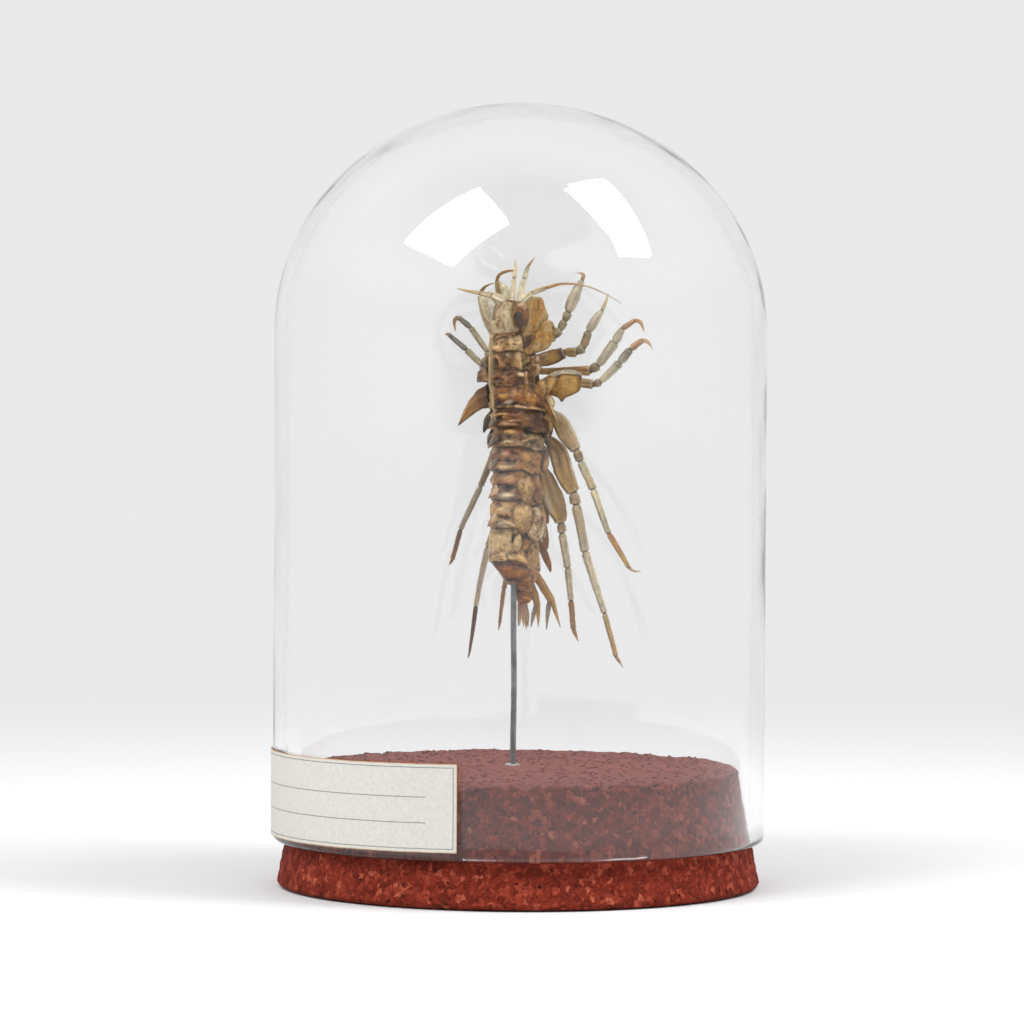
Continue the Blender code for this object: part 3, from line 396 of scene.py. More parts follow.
# Head and tail as z, middle x, middle y, size
HEAD_SIZES = (
    (95.0, -1.6, -0.3, 0.12), (94.8, -1.6, -0.3, 0.3), (94.2, -1.7, -0.5, 0.48),
    (93.2, -1.9, -0.6, 0.58), (92.1, -2.2, -0.6, 0.64), (91.0, -2.4, -0.6, 0.68), (89.8, -2.5, -0.6, 0.7))
TAIL_SIZES = (
    (52.7, -1.4, 0.9, 0.84), (51.8, -1.2, 1.0, 0.77), (50.4, -0.7, 1.3, 0.63), (49.2, -0.2, 1.6, 0.5),
    (48.9, 0.1, 2.2, 0.4), (48.7, 0.35, 2.4, 0.33), (47.4, 0.5, 2.7, 0.33), (46.9, 0.6, 2.9, 0.3),
    (46.7, 0.65, 3.0, 0.26), (45.9, 0.7, 3.1, 0.26), (45.3, 0.75, 3.2, 0.15))

# Shades of the back, the flank and the belly of each part of the trunk
TRUNK_TINTS = {
    "head": "warm_brown brown bone",
    "pereon_1": "pink_beige bone beige",
    "pereon_2": "warm_brown olive tan",
    "pereon_3": "warm_brown brown tan",
    "pereon_4": "warm_brown ochre tan",
    "pereon_5": "warm_brown brown tan",
    "pereon_6": "warm_brown olive tan",
    "pereon_7": "warm_brown ochre tan",
    "pleon_1": "warm_brown ochre beige",
    "pleon_2": "tan tan beige",
    "pleon_3": "bone ochre beige",
    "tail": "rust ochre warm_brown",
}

# The roof-shaped back crowds the angles near the keel: an angle as drawn, and where it comes out
CROWDED_ANGLES = ((-40.0, -20.0, 0.0, 20.0, 40.0, 60.0, 80.0, 100.0, 120.0),
                  (-42.0, -27.0, 0.0, 27.0, 42.0, 58.0, 78.0, 103.0, 125.0))

# Marks on one side of the trunk, repeated on the other: share of the segment from its front, degrees from
# the keel, half length and half width in mm, tint, strength, and how far it stands out in mm
MARKS = {
    "head": (
        (0.62, 62, 1.7, 1.4, "warm_brown", 0.8, 0.1), (0.9, 44, 0.35, 0.5, "rust", 0.9, 0.1),
        (0.75, 20, 1.0, 0.9, "pink_beige", 0.6, 0.0), (0.35, 30, 0.7, 1.3, "bone", 0.6, 0.1),
        (0.55, 40, 0.8, 0.35, "gold", 0.5, 0.0), (0.7, -25, 1.4, 0.8, "green_grey", 0.7, 0.0)),
    # On pereon_1 the white_shell mark is a painted sheen, the cream mark a painted highlight and the sunk
    # pink_grey mark painted shade.
    "pereon_1": (
        (0.5, 12, 1.2, 1.1, "white_shell", 0.85, 0.0), (0.6, 44, 1.3, 1.1, "olive", 0.5, 0.0),
        (0.55, -3, 0.7, 0.35, "orange_tan", 0.85, 0.1), (0.78, 16, 0.28, 0.9, "cream", 0.9, 0.25),
        (0.42, 16, 0.5, 0.8, "pink_grey", 0.6, -0.2), (0.3, 62, 0.8, 0.3, "bone", 0.7, 0.1)),
    # On pereon_2 the sunk umber mark is painted shade in a hollow.
    "pereon_2": (
        (0.6, 13, 0.4, 0.85, "umber", 0.75, -0.25), (0.68, 30, 0.4, 0.6, "tan", 0.7, 0.1),
        (0.55, 70, 1.1, 0.6, "beige", 0.6, 0.25), (0.25, 45, 0.7, 1.0, "olive", 0.6, 0.0),
        (0.92, 60, 0.15, 1.4, "joint_dark", 0.8, -0.2)),
    # On pereon_3 the white_shell mark is a painted highlight.
    "pereon_3": (
        (0.7, 18, 0.55, 0.9, "plum", 0.5, -0.15), (0.25, 70, 0.35, 0.5, "white_shell", 0.85, 0.3),
        (0.8, 71, 0.65, 0.8, "plum", 0.8, -0.2), (0.2, 40, 0.5, 1.0, "umber", 0.5, -0.1)),
    # On pereon_4 the steel_blue mark is a painted highlight.
    "pereon_4": (
        (0.12, 20, 0.4, 1.2, "rust", 0.7, 0.05), (0.4, 24, 0.45, 0.9, "gold", 0.9, 0.3),
        (0.36, 43, 0.7, 0.55, "pink_beige", 0.6, 0.1), (0.7, 15, 0.65, 0.75, "plum", 0.95, -0.4),
        (0.74, 36, 0.35, 0.8, "steel_blue", 0.95, 0.25), (0.57, 58, 0.45, 0.9, "rust", 0.8, 0.1),
        (0.42, 72, 0.35, 0.3, "pink_beige", 0.8, 0.1), (0.3, 92, 0.9, 1.0, "brick", 0.6, 0.0),
        (0.7, 95, 0.7, 1.4, "warm_brown", 0.6, 0.1)),
    "pereon_5": (
        (0.25, 47, 0.6, 1.0, "brick", 0.75, 0.0), (0.6, 16, 0.5, 0.8, "umber", 0.85, -0.35),
        (0.95, 76, 0.45, 0.55, "blue_black", 0.9, -0.3), (0.5, 94, 1.2, 1.1, "umber", 0.5, 0.15),
        (0.88, 30, 0.25, 1.4, "pink_beige", 0.6, 0.1)),
    "pereon_6": (
        (0.25, 33, 0.35, 0.85, "beige", 0.8, 0.25), (0.55, 8, 0.6, 0.8, "blue_black", 0.9, -0.35),
        (0.55, 36, 0.4, 0.9, "olive", 0.7, -0.1), (0.9, 40, 0.35, 1.9, "olive", 0.7, 0.1),
        (0.35, 57, 0.8, 0.45, "brick", 0.7, 0.0), (0.1, 76, 0.4, 0.6, "blue_black", 0.9, -0.3),
        (0.75, 80, 0.6, 0.8, "umber", 0.5, -0.1)),
    "pereon_7": (
        (0.25, 30, 0.6, 1.4, "brick", 0.7, 0.0), (0.28, 29, 0.3, 0.7, "tan", 0.8, 0.25),
        (0.65, 56, 0.3, 0.3, "gold", 0.9, 0.1), (0.82, 26, 0.5, 1.4, "bone", 0.75, 0.3),
        (0.35, 70, 0.7, 0.7, "tan", 0.6, 0.3)),
    # On pleon_1 the white_shell mark is a painted highlight.
    "pleon_1": (
        (0.32, 36, 0.7, 1.1, "pink_beige", 0.8, 0.35), (0.4, 4, 1.3, 0.6, "pink_beige", 0.6, 0.0),
        (0.66, 34, 0.35, 0.75, "umber", 0.9, -0.3), (0.63, 51, 0.25, 0.3, "steel_blue", 0.9, 0.1),
        (0.87, 30, 0.6, 1.8, "steel_blue", 0.9, 0.25), (0.84, 36, 0.25, 0.8, "white_shell", 0.95, 0.1),
        (0.55, 74, 1.6, 1.8, "brown", 0.6, 0.0), (0.45, 102, 1.1, 0.6, "umber", 0.85, -0.3),
        (0.92, 78, 0.4, 1.6, "warm_brown", 0.7, 0.0)),
    "pleon_2": (
        (0.28, 22, 0.9, 1.6, "bone", 0.7, 0.1), (0.63, 22, 0.5, 0.85, "red_brown", 0.95, -0.3),
        (0.5, 60, 2.1, 1.7, "brown", 0.55, 0.0), (0.85, 26, 0.5, 1.9, "steel_blue", 0.85, 0.25),
        (0.4, 98, 1.3, 1.3, "warm_brown", 0.6, 0.1), (0.7, 104, 1.4, 0.9, "warm_brown", 0.5, 0.0)),
    "pleon_3": (
        (0.3, 18, 1.4, 1.8, "beige", 0.8, 0.1), (0.32, 50, 1.3, 0.35, "umber", 0.8, -0.3),
        (0.32, 66, 1.4, 1.2, "brown", 0.8, -0.2), (0.7, 88, 1.9, 0.9, "umber", 0.6, 0.0),
        (0.88, 20, 0.4, 0.9, "rust", 0.6, -0.15), (0.9, 66, 0.6, 1.0, "beige", 0.8, 0.15)),
    "tail": (
        (0.25, 40, 0.9, 1.6, "amber", 0.4, 0.15), (0.42, 20, 0.25, 2.5, "joint_dark", 0.7, -0.1),
        (0.55, 40, 0.5, 1.5, "amber", 0.7, 0.0), (0.72, 30, 0.2, 1.5, "joint_dark", 0.7, -0.1),
        (0.05, 30, 0.4, 2.2, "umber", 0.6, -0.1)),
}

# Raised or sunk lines, repeated on the other side: places as share and degrees, half width, tint, strength,
# and how far they stand out
LINES = {
    "pereon_2": (
        (((0.5, 3), (0.28, 8), (0.22, 14), (0.35, 20), (0.6, 26)), 0.17, "pink_beige", 0.9, 0.3),
        (((0.1, 72), (0.5, 78), (1.0, 84)), 0.2, "pink_grey", 0.7, 0.25)),
    "pereon_3": (
        (((0.85, 2), (0.55, 8), (0.42, 18), (0.55, 32), (0.7, 40)), 0.16, "red_brown", 0.95, 0.25),
        (((0.0, 84), (0.5, 88), (1.0, 93)), 0.25, "pink_grey", 0.75, 0.3)),
    "pereon_4": (
        (((0.86, 26), (0.82, 50), (0.9, 72)), 0.16, "umber", 0.8, -0.2),
        (((0.93, 50), (0.95, 80), (0.97, 112)), 0.16, "beige", 0.9, 0.3)),
    "pereon_5": (
        (((0.7, 3), (0.45, 8), (0.3, 16), (0.25, 28)), 0.14, "beige", 0.85, 0.3),
        (((0.7, 36), (0.62, 50), (0.6, 60)), 0.12, "beige", 0.75, 0.2)),
    "pereon_6": (
        (((0.74, 22), (0.7, 32), (0.76, 42)), 0.11, "bone", 0.9, 0.25),
        (((0.72, 62), (0.5, 72), (0.3, 88)), 0.13, "tan", 0.8, 0.3)),
    "pereon_7": ((((0.72, 4), (0.56, 14), (0.52, 32), (0.62, 54)), 0.13, "plum", 0.95, -0.25),),
    "pleon_1": ((((0.68, 0), (0.53, 12), (0.52, 24), (0.58, 50)), 0.22, "brown", 0.85, -0.3),),
    # On pleon_2 the bone line is a painted highlight along the top edge of the grey band.
    "pleon_2": ((((0.66, 0), (0.68, 20), (0.78, 38), (0.92, 50)), 0.15, "bone", 0.9, 0.3),),
    "pleon_3": (
        (((0.9, 0), (0.72, 10), (0.68, 26), (0.8, 38), (0.97, 44)), 0.16, "umber", 0.95, -0.25),
        (((0.9, 12), (0.86, 26), (0.94, 38)), 0.13, "cream", 0.95, 0.2)),
}

# Plates with drawn outlines: x, z of the outline; y of the middle, slope over x, slope over z, thickness,
# bulge, tints from low to high relief, edge tint
RIGHT_PLATES = {
    "cheek": (
        ((-2.46, 94.7), (-1.9, 94.65), (-1.5, 94.4), (-1.33, 93.8), (-1.4, 92.8), (-1.3, 91.5),
        (-1.0, 90.5), (-0.46, 90.0), (-1.33, 89.7), (-2.6, 89.6), (-3.9, 89.5), (-4.8, 89.55),
        (-5.0, 90.5), (-5.15, 91.5), (-4.7, 91.7), (-4.2, 91.9), (-4.1, 92.8), (-3.85, 93.3),
        (-3.45, 93.8), (-2.95, 94.4)), -3.1, -0.2, 0.05, 0.5, 0.25,
        "brown tan grey_shell pink_grey bone", "pink_grey"),
    "brow": (
        ((-1.5, 94.6), (-0.7, 94.5), (0.1, 94.6), (0.95, 94.6), (1.15, 94.0), (0.85, 93.4), (0.2, 93.5),
        (-0.3, 93.7), (-0.9, 93.4), (-1.35, 93.7)), -3.0, 0.3, 0.1, 0.6, 0.35,
        "warm_brown tan tan pink_beige", "tan"),
    "eye_socket": (
        ((-1.5, 92.9), (-1.1, 93.5), (-0.2, 93.7), (0.6, 93.6), (1.0, 92.9), (0.9, 91.7), (0.5, 90.9),
        (0.0, 90.2), (-0.8, 90.2), (-1.3, 91.0), (-1.5, 92.0)), -3.2, 0.25, 0.0, 0.5, 0.1,
        "umber brown warm_brown rust", "tan"),
    "eye_rim": (
        ((1.0, 94.2), (1.35, 93.6), (1.3, 92.2), (1.0, 90.9), (0.5, 89.9), (0.0, 89.7), (0.3, 90.4),
        (0.75, 91.3), (0.95, 92.4), (0.9, 93.4)), -2.7, 0.2, 0.0, 0.5, 0.2, "brown warm_brown tan",
        "warm_brown"),
    "orange_cheek": (
        ((-1.7, 90.3), (-1.0, 90.6), (-0.3, 90.1), (-0.2, 89.5), (-0.9, 89.2), (-1.5, 89.5)), -3.3, 0.1,
        0.0, 0.3, 0.15, "umber rust orange_tan rust", "umber"),
    # The golden_beige edge of coxa_1 is a painted highlight along its rim.
    "coxa_1": (
        ((1.0, 95.0), (1.5, 95.4), (2.1, 95.6), (2.9, 95.6), (3.4, 95.5), (3.7, 95.0), (3.9, 94.3),
        (4.3, 93.3), (4.55, 92.7), (4.45, 92.0), (4.2, 91.3), (4.0, 90.7), (3.5, 90.1), (2.8, 89.6),
        (1.8, 89.2), (0.6, 89.0), (0.1, 89.4), (0.5, 90.3), (0.95, 91.4), (1.15, 92.5), (1.0, 93.7)),
        -1.0, 0.8, -0.1, 0.35, 0.3, "warm_brown ochre amber amber gold golden_beige", "golden_beige"),
    "coxa_2": (
        ((3.7, 91.7), (4.3, 91.9), (5.1, 91.8), (5.55, 91.0), (5.85, 90.0), (5.6, 89.1), (5.1, 88.1),
        (4.6, 87.3), (3.6, 86.8), (2.4, 86.4), (1.3, 86.1), (0.5, 86.3), (0.35, 87.4), (0.5, 88.6),
        (1.2, 89.3), (2.2, 89.6), (2.9, 90.4), (3.35, 91.2)), -0.7, 0.4, -0.1, 0.35, 0.4,
        "brown ochre amber amber gold golden_beige", "ochre"),
    # Painted shadow: a dark sheet where shade falls between the trunk and coxa_2.
    "coxa_2_painted_shadow": (
        ((0.5, 87.9), (1.0, 88.8), (1.7, 89.4), (2.3, 89.2), (1.9, 88.4), (1.4, 87.7), (0.8, 87.2),
        (0.45, 87.2)), -2.15, 0.3, 0.0, 0.3, 0.1, "plum umber brown", "brown"),
    "coxa_3_shadow": (
        ((0.3, 86.6), (1.6, 86.9), (2.6, 86.2), (2.9, 84.6), (3.0, 82.6), (3.4, 80.4), (2.6, 79.2),
        (1.6, 80.2), (0.8, 82.2), (0.2, 84.6)), -0.2, 0.6, 0.0, 0.5, 0.2, "umber brown warm_brown",
        "umber"),
    "coxa_3": (
        ((0.9, 85.6), (1.9, 86.1), (3.1, 86.4), (4.1, 86.7), (4.3, 86.1), (3.6, 85.2), (2.8, 84.3),
        (1.9, 83.6), (1.4, 83.9), (1.2, 84.8)), -0.5, 0.5, 0.2, 0.5, 0.4,
        "brown warm_brown tan pink_beige", "brown"),
    "coxa_3_fold": (
        ((1.2, 84.4), (2.2, 84.9), (3.0, 84.6), (3.4, 83.7), (2.8, 82.9), (1.9, 82.5), (1.2, 83.2)),
        -0.9, 0.4, 0.0, 0.5, 0.4, "brown warm_brown tan", "brown"),
    "coxa_4": (
        ((2.75, 81.75), (3.8, 82.4), (4.95, 82.9), (5.6, 82.4), (5.4, 81.3), (4.5, 79.9), (4.25, 78.5),
        (3.55, 78.7), (3.1, 79.9), (2.6, 80.8)), -0.3, 0.4, 0.0, 0.6, 0.4,
        "brown ochre gold golden_beige", "warm_brown"),
    "coxa_5": (
        ((3.6, 79.7), (4.5, 79.9), (5.2, 79.2), (5.5, 78.2), (5.1, 77.4), (4.3, 77.3), (3.7, 78.2)), 0.6,
        0.3, 0.0, 0.6, 0.5, "umber ochre gold cream", "brown"),
    "coxa_6": (
        ((3.4, 76.4), (4.3, 76.5), (5.0, 75.6), (5.3, 74.2), (4.9, 72.9), (4.1, 72.3), (3.3, 73.3),
        (3.1, 75.0)), 0.8, 0.2, 0.0, 0.6, 0.4, "joint_dark umber brown ochre", "joint_dark"),
    "coxa_7": (
        ((3.1, 71.6), (4.1, 71.3), (4.6, 70.0), (4.5, 68.2), (3.9, 66.9), (3.1, 67.6), (2.8, 69.6)), 0.6,
        0.2, 0.0, 0.6, 0.4, "umber brown warm_brown tan", "umber"),
}

# Horn of the right flank as a drawn plate, and its pale edge as x, y, z, width
RIGHT_HORN = (
    ((0.5, 81.5), (1.3, 81.8), (2.3, 81.4), (3.4, 80.45), (4.35, 79.15), (5.15, 77.7), (5.65, 76.55),
    (5.95, 75.25), (5.4, 76.05), (4.75, 77.0), (3.85, 77.6), (2.7, 77.85), (1.5, 78.0), (0.7, 78.6),
    (0.3, 80.0)), -2.05, 0.15, 0.0, 0.8, 0.2, "umber brown warm_brown warm_brown ochre", "brown")
RIGHT_HORN_EDGE = (
    (4.1, -2.75, 79.3, 0.1), (4.75, -2.65, 78.1, 0.3), (5.4, -2.45, 76.7, 0.4), (5.95, -2.2, 75.1, 0.1))

# Thin pale rope that runs down the keel of the front segments
KEEL_ROPE = (
    (-4.6, -3.2, 88.6, 0.15), (-4.93, -3.3, 86.6, 0.35), (-5.04, -3.3, 84.05, 0.4),
    (-5.09, -3.3, 82.2, 0.34), (-4.93, -3.3, 80.8, 0.45), (-4.54, -3.4, 79.4, 0.36),
    (-4.5, -3.4, 78.0, 0.42), (-4.3, -3.4, 76.9, 0.3), (-4.1, -3.3, 75.6, 0.12))

# Raised plates on the right side of the rear segments, drawn the same way
BACK_PLATES = {
    "pleon_1_bulge": (
        ((-0.7, 64.9), (-0.3, 65.9), (0.7, 66.1), (1.3, 66.6), (2.2, 65.9), (2.6, 64.3), (2.1, 63.1),
        (1.9, 62.0), (1.0, 61.7), (0.2, 62.6), (-0.3, 63.9)), -2.2, 0.25, 0.0, 0.4, 1.1,
        "brown ochre tan golden_beige beige", "warm_brown"),
    "pleon_1_side": (
        ((2.3, 66.4), (3.0, 66.0), (3.5, 64.6), (3.5, 62.9), (2.9, 61.9), (2.2, 62.4), (2.0, 64.4)),
        -1.6, 0.6, 0.0, 0.5, 0.6, "brown warm_brown tan", "warm_brown"),
    "pleon_2_bulge": (
        ((-1.3, 60.35), (-0.9, 61.7), (0.2, 61.6), (1.4, 61.9), (2.3, 60.5), (2.0, 58.95), (1.6, 57.6),
        (0.4, 57.1), (-0.7, 58.0), (-1.1, 59.2)), -2.5, 0.1, 0.0, 0.4, 1.2,
        "brown tan golden_beige golden_beige beige", "warm_brown"),
    "pleon_2_side": (
        ((2.4, 61.3), (3.35, 60.8), (3.8, 59.65), (3.85, 58.3), (3.6, 56.9), (3.0, 55.95), (2.1, 56.2),
        (1.3, 57.1), (1.7, 58.3), (2.2, 59.65)), -2.15, 0.5, 0.0, 0.6, 0.3,
        "brown pink_grey grey_shell white_shell", "grey_shell"),
    "pleon_3_lobe": (
        ((-0.7, 56.65), (-0.25, 57.1), (0.2, 56.9), (0.3, 55.95), (0.15, 54.8), (-0.35, 54.2),
        (-0.9, 54.8), (-1.0, 55.7)), -2.75, 0.0, 0.0, 0.5, 0.75, "beige cream white_shell", "beige"),
    "pleon_3_scale": (
        ((2.1, 55.6), (2.75, 55.25), (2.95, 53.85), (2.75, 52.5), (2.1, 51.3), (1.3, 51.4), (1.0, 52.5),
        (1.3, 53.85), (1.6, 55.0)), -1.7, 0.5, 0.0, 0.7, 0.2, "brown tan golden_beige", "grey_shell"),
    "pleon_3_panel": (
        ((-4.4, 57.1), (-1.5, 56.85), (-1.4, 55.25), (-1.9, 53.95), (-3.6, 54.1), (-4.5, 54.3)), -2.3,
        -0.05, 0.0, 0.4, 0.55, "beige bone cream bone", "bone"),
}

# Broad plates of limbs, drawn the same way; each goes with the limb that its name starts with
LIMB_PLATES = {
    "gnathopod_2_left": (
        ((-7.25, 95.9), (-6.5, 96.2), (-5.4, 96.15), (-4.35, 96.0), (-4.1, 95.3), (-4.0, 94.4),
        (-4.1, 93.5), (-4.2, 92.5), (-4.5, 91.6), (-5.2, 91.3), (-5.8, 91.7), (-6.5, 93.0), (-7.0, 94.5),
        (-7.3, 95.3)), 9.0, 0.1, 0.1, 0.7, 0.3, "pink_grey bone bone cream", "tan"),
    "gnathopod_1_left_palm": (
        ((-5.85, 95.0), (-5.0, 95.15), (-4.45, 94.6), (-4.1, 94.0), (-4.15, 93.3), (-4.5, 92.5),
        (-4.85, 92.8), (-5.25, 93.5), (-5.6, 94.2)), 8.4, 0.1, 0.1, 0.4, 0.3,
        "cream white_shell white_shell", "white_shell"),
    "pereopod_4_right": (
        ((3.2, 81.3), (4.4, 82.5), (5.6, 83.3), (8.1, 83.8), (9.7, 83.3), (9.8, 82.1), (9.5, 80.5),
        (8.1, 79.6), (7.25, 79.2), (6.6, 78.5), (6.0, 79.2), (4.8, 79.6), (3.8, 80.05)), 1.5, -0.15, 0.1,
        0.5, 0.45, "warm_brown ochre amber amber gold", "brown"),
    # Painted highlight: a pale plate along the upper edge of pereopod_4_right's broad plate.
    "pereopod_4_right_painted_rim_highlight": (
        ((3.9, 82.3), (5.2, 83.3), (6.6, 83.75), (8.1, 83.9), (9.6, 83.5), (9.7, 83.0), (8.1, 83.25),
        (6.4, 83.0), (5.0, 82.4)), 1.2, -0.15, 0.1, 0.5, 0.1, "pink_grey grey_shell cream", "slate"),
    "gnathopod_1_left": (
        ((-3.8, 98.5), (-3.3, 98.2), (-2.5, 97.7), (-1.7, 97.0), (-1.1, 96.7), (-0.9, 96.1),
        (-1.0, 95.3), (-1.5, 94.9), (-2.2, 95.0), (-2.7, 95.2), (-3.15, 95.8), (-3.4, 96.65),
        (-3.65, 97.6)), 9.4, 0.1, 0.1, 0.5, 0.3, "bone cream cream white_shell", "beige"),
}

# Marks on a limb: article, share of its length, place across it from -1 to 1, half length in mm,
# half width as a share, tint and strength
LIMB_MARKS = {
    "gnathopod_2_right": (
        (0, 0.6, 0.0, 1.6, 0.7, "gold", 0.9), (0, 0.15, 0.0, 1.3, 1.0, "pink_beige", 0.7),
        (0, 0.95, 0.0, 0.8, 1.4, "plum", 1.0), (0, 0.75, 0.9, 1.6, 0.3, "plum", 0.8),
        (3, 0.4, 0.0, 0.8, 0.6, "green_grey", 0.5)),
    "pereopod_3_right": (
        (0, 0.5, 0.75, 3.0, 0.25, "dark_grey", 0.7), (0, 0.6, -0.6, 2.5, 0.3, "umber", 0.6)),
    "pereopod_4_right": (
        (0, 0.6, 0.0, 3.0, 0.16, "umber", 0.9), (0, 0.45, 0.8, 2.6, 0.3, "dark_grey", 0.7),
        (0, 0.7, -0.5, 1.2, 0.4, "gold", 0.8), (3, 0.9, 0.0, 0.4, 0.8, "joint_dark", 0.8)),
    "pereopod_5_right": (
        (0, 0.5, 0.4, 3.0, 0.2, "brown", 0.7), (0, 0.6, -0.8, 3.0, 0.25, "bone", 0.8),
        (0, 0.25, -0.3, 1.6, 0.3, "slate", 0.6), (1, 0.5, 0.0, 0.5, 1.0, "brown", 0.5)),
    "pereopod_6_right": (
        (0, 0.4, 0.35, 3.4, 0.14, "umber", 0.85), (0, 0.5, -0.5, 3.0, 0.12, "umber", 0.8),
        (0, 0.15, 0.7, 2.0, 0.4, "umber", 0.8), (0, 0.65, 0.0, 1.8, 0.25, "gold", 0.7),
        (0, 0.7, -0.85, 2.4, 0.2, "bone", 0.7)),
    "pereopod_7_right": (
        (0, 0.4, 0.3, 3.2, 0.13, "umber", 0.7), (0, 0.35, -0.75, 2.6, 0.25, "brown", 0.7),
        (0, 0.65, -0.2, 2.2, 0.3, "golden_beige", 0.8), (0, 0.7, 0.8, 2.0, 0.25, "bone", 0.7)),
    "pereopod_5_left": ((0, 0.98, 0.0, 0.8, 1.2, "umber", 0.8),),
}

# Light of the room as shares of white: all round, at the sides, added above, and left behind the camera
WORLD_LIGHT = 0.82
SIDE_LIGHT = 0.95
OVERHEAD_LIGHT = 0.05
CAMERA_SIDE_SHARE = 0.16
SOFTBOX_LIGHT = 9.0
FLOOR_RADIUS = 6000.0
FLOOR_GAP = 0.2

# Softboxes by their upper inner, upper outer and lower outer corners
SOFTBOXES = {
    "softbox_left": ((-393.0, -42.0, 1250.0), (-205.0, -537.0, 1179.0), (-517.0, -944.0, 700.0)),
    "softbox_right": ((279.0, -180.0, 1271.0), (485.0, 88.0, 1210.0), (1016.0, -277.0, 725.0)),
}

# Kinds of nodes, and the settings of colour mixes
NOISE = "ShaderNodeTexNoise"
VORONOI = "ShaderNodeTexVoronoi"
RAMP = "ShaderNodeValToRGB"
RANGE = "ShaderNodeMapRange"
MIX = "ShaderNodeMix"
MATH = "ShaderNodeMath"
BUMP = "ShaderNodeBump"
RANDOM = "FunctionNodeRandomValue"
MIXED = {"data_type": "RGBA", "blend_type": "MIX"}
MULTIPLIED = {"data_type": "RGBA", "blend_type": "MULTIPLY"}

# Sizes of the finishes' patterns, in mm
SHELL_BLOTCH = 0.8
SHELL_SPECK = 0.25
CORK_CHIP = 0.95
CORK_PIT = 0.8
CORK_GRAIN = 0.45
CORK_FLECK = 0.28
PAPER_FIBRE = 0.6
STEEL_SCRATCH = 0.12
STEEL_STAIN = 3.0


def linear(code):
    """sRGB hex to the linear values that Blender works in."""
    values = [int(code[i:i + 2], 16) / 255.0 for i in (0, 2, 4)]
    return tuple(v / 12.92 if v <= 0.04045 else ((v + 0.055) / 1.055) ** 2.4 for v in values)


def rgba(code):
    return (*linear(code), 1.0)


def tint(name):
    return np.array(linear(TINTS[name]))


def tint_row(names):
    """Linear colours of the tints that a string names."""
    return np.array([tint(name) for name in names.split()])


def add(tree, kind, inputs=None, out=None, stops=None, **settings):
    """Add a node: each input takes a value or a link, and a ramp takes stops of place and colour.

    Returns the output that is asked for, or the node itself where none is.
    """
    node = tree.nodes.new(kind)
    for key, value in settings.items():
        setattr(node, key, value)
    for key, value in (inputs or {}).items():
        if isinstance(value, bpy.types.NodeSocket):
            tree.links.new(value, node.inputs[key])
        else:
            node.inputs[key].default_value = value
    if stops:
        elements = node.color_ramp.elements
        while len(elements) < len(stops):
            elements.new(0.5)
        for element, (place, color) in zip(elements, stops):
            element.position = place
            element.color = rgba(color) if isinstance(color, str) else (color, color, color, 1.0)
    return node if out is None else node.outputs[out]


def new_material(name, color, roughness, **sockets):
    """A Principled material; returns it with its tree and shader."""
    material = bpy.data.materials.new(name)
    material.use_nodes = True
    tree = material.node_tree
    shader = tree.nodes["Principled BSDF"]
    values = {"Base Color": rgba(color), "Roughness": roughness}
    values.update((key.replace("_", " "), value) for key, value in sockets.items())
    for key, value in values.items():
        shader.inputs[key].default_value = value
    return material, tree, shader


def feed(tree, shader, outputs):
    """Link outputs to the shader's inputs by name."""
    for name, output in outputs.items():
        tree.links.new(output, shader.inputs[name])


def per_size(size_mm):
    """Scale of a texture on Object coordinates whose features are this many millimetres."""
    return 1.0 / (size_mm * MM)


def chitin(name, roughness, speckle, coat, glow, cast="FFFFFF"):
    """Dried crustacean shell: the painted tint, broken by dark and pale specks, over a wrinkled surface.

    Real pores are too fine to show, so the specks are as coarse as the picture needs.
    """
    material, tree, shader = new_material(name, "907050", roughness, Coat_Weight=coat, Coat_Roughness=0.15,
                                          Specular_IOR_Level=0.3, Subsurface_Weight=glow,
                                          Subsurface_Scale=0.5 * MM, Subsurface_Radius=(1.0, 0.6, 0.35))
    place = add(tree, "ShaderNodeTexCoord", out="Object")
    painted = add(tree, "ShaderNodeAttribute", out="Color", attribute_name="tint")
    blotch = add(tree, NOISE, {"Vector": place, "Scale": per_size(SHELL_BLOTCH), "Detail": 5.0,
                               "Roughness": 0.65, "Distortion": 0.6}, "Fac")
    grain = add(tree, NOISE, {"Vector": place, "Scale": per_size(SHELL_SPECK), "Detail": 3.0,
                              "Roughness": 0.7}, "Fac")
    shade = add(tree, RAMP, {"Fac": blotch}, "Color", ((0.3, 0.6), (0.5, 1.0), (0.7, 1.35)))
    specks = add(tree, RAMP, {"Fac": grain}, "Color", ((0.3, 0.45), (0.42, 1.0), (0.6, 1.0), (0.72, 1.35)))
    mottled = add(tree, MIX, {0: speckle, 6: painted, 7: shade}, 2, **MULTIPLIED)
    speckled = add(tree, MIX, {0: speckle, 6: mottled, 7: specks}, 2, **MULTIPLIED)
    toned = add(tree, MIX, {0: 1.0, 6: speckled, 7: rgba(cast)}, 2, **MULTIPLIED)
    dull = add(tree, RAMP, {"Fac": blotch}, "Color", ((0.3, roughness + 0.15), (0.7, roughness - 0.1)))
    height = add(tree, MATH, {0: blotch, 1: grain}, 0, operation="ADD")
    wrinkles = add(tree, BUMP, {"Height": height, "Distance": 0.1 * MM, "Strength": 0.6}, "Normal")
    feed(tree, shader, {"Base Color": toned, "Roughness": dull, "Normal": wrinkles})
    return material


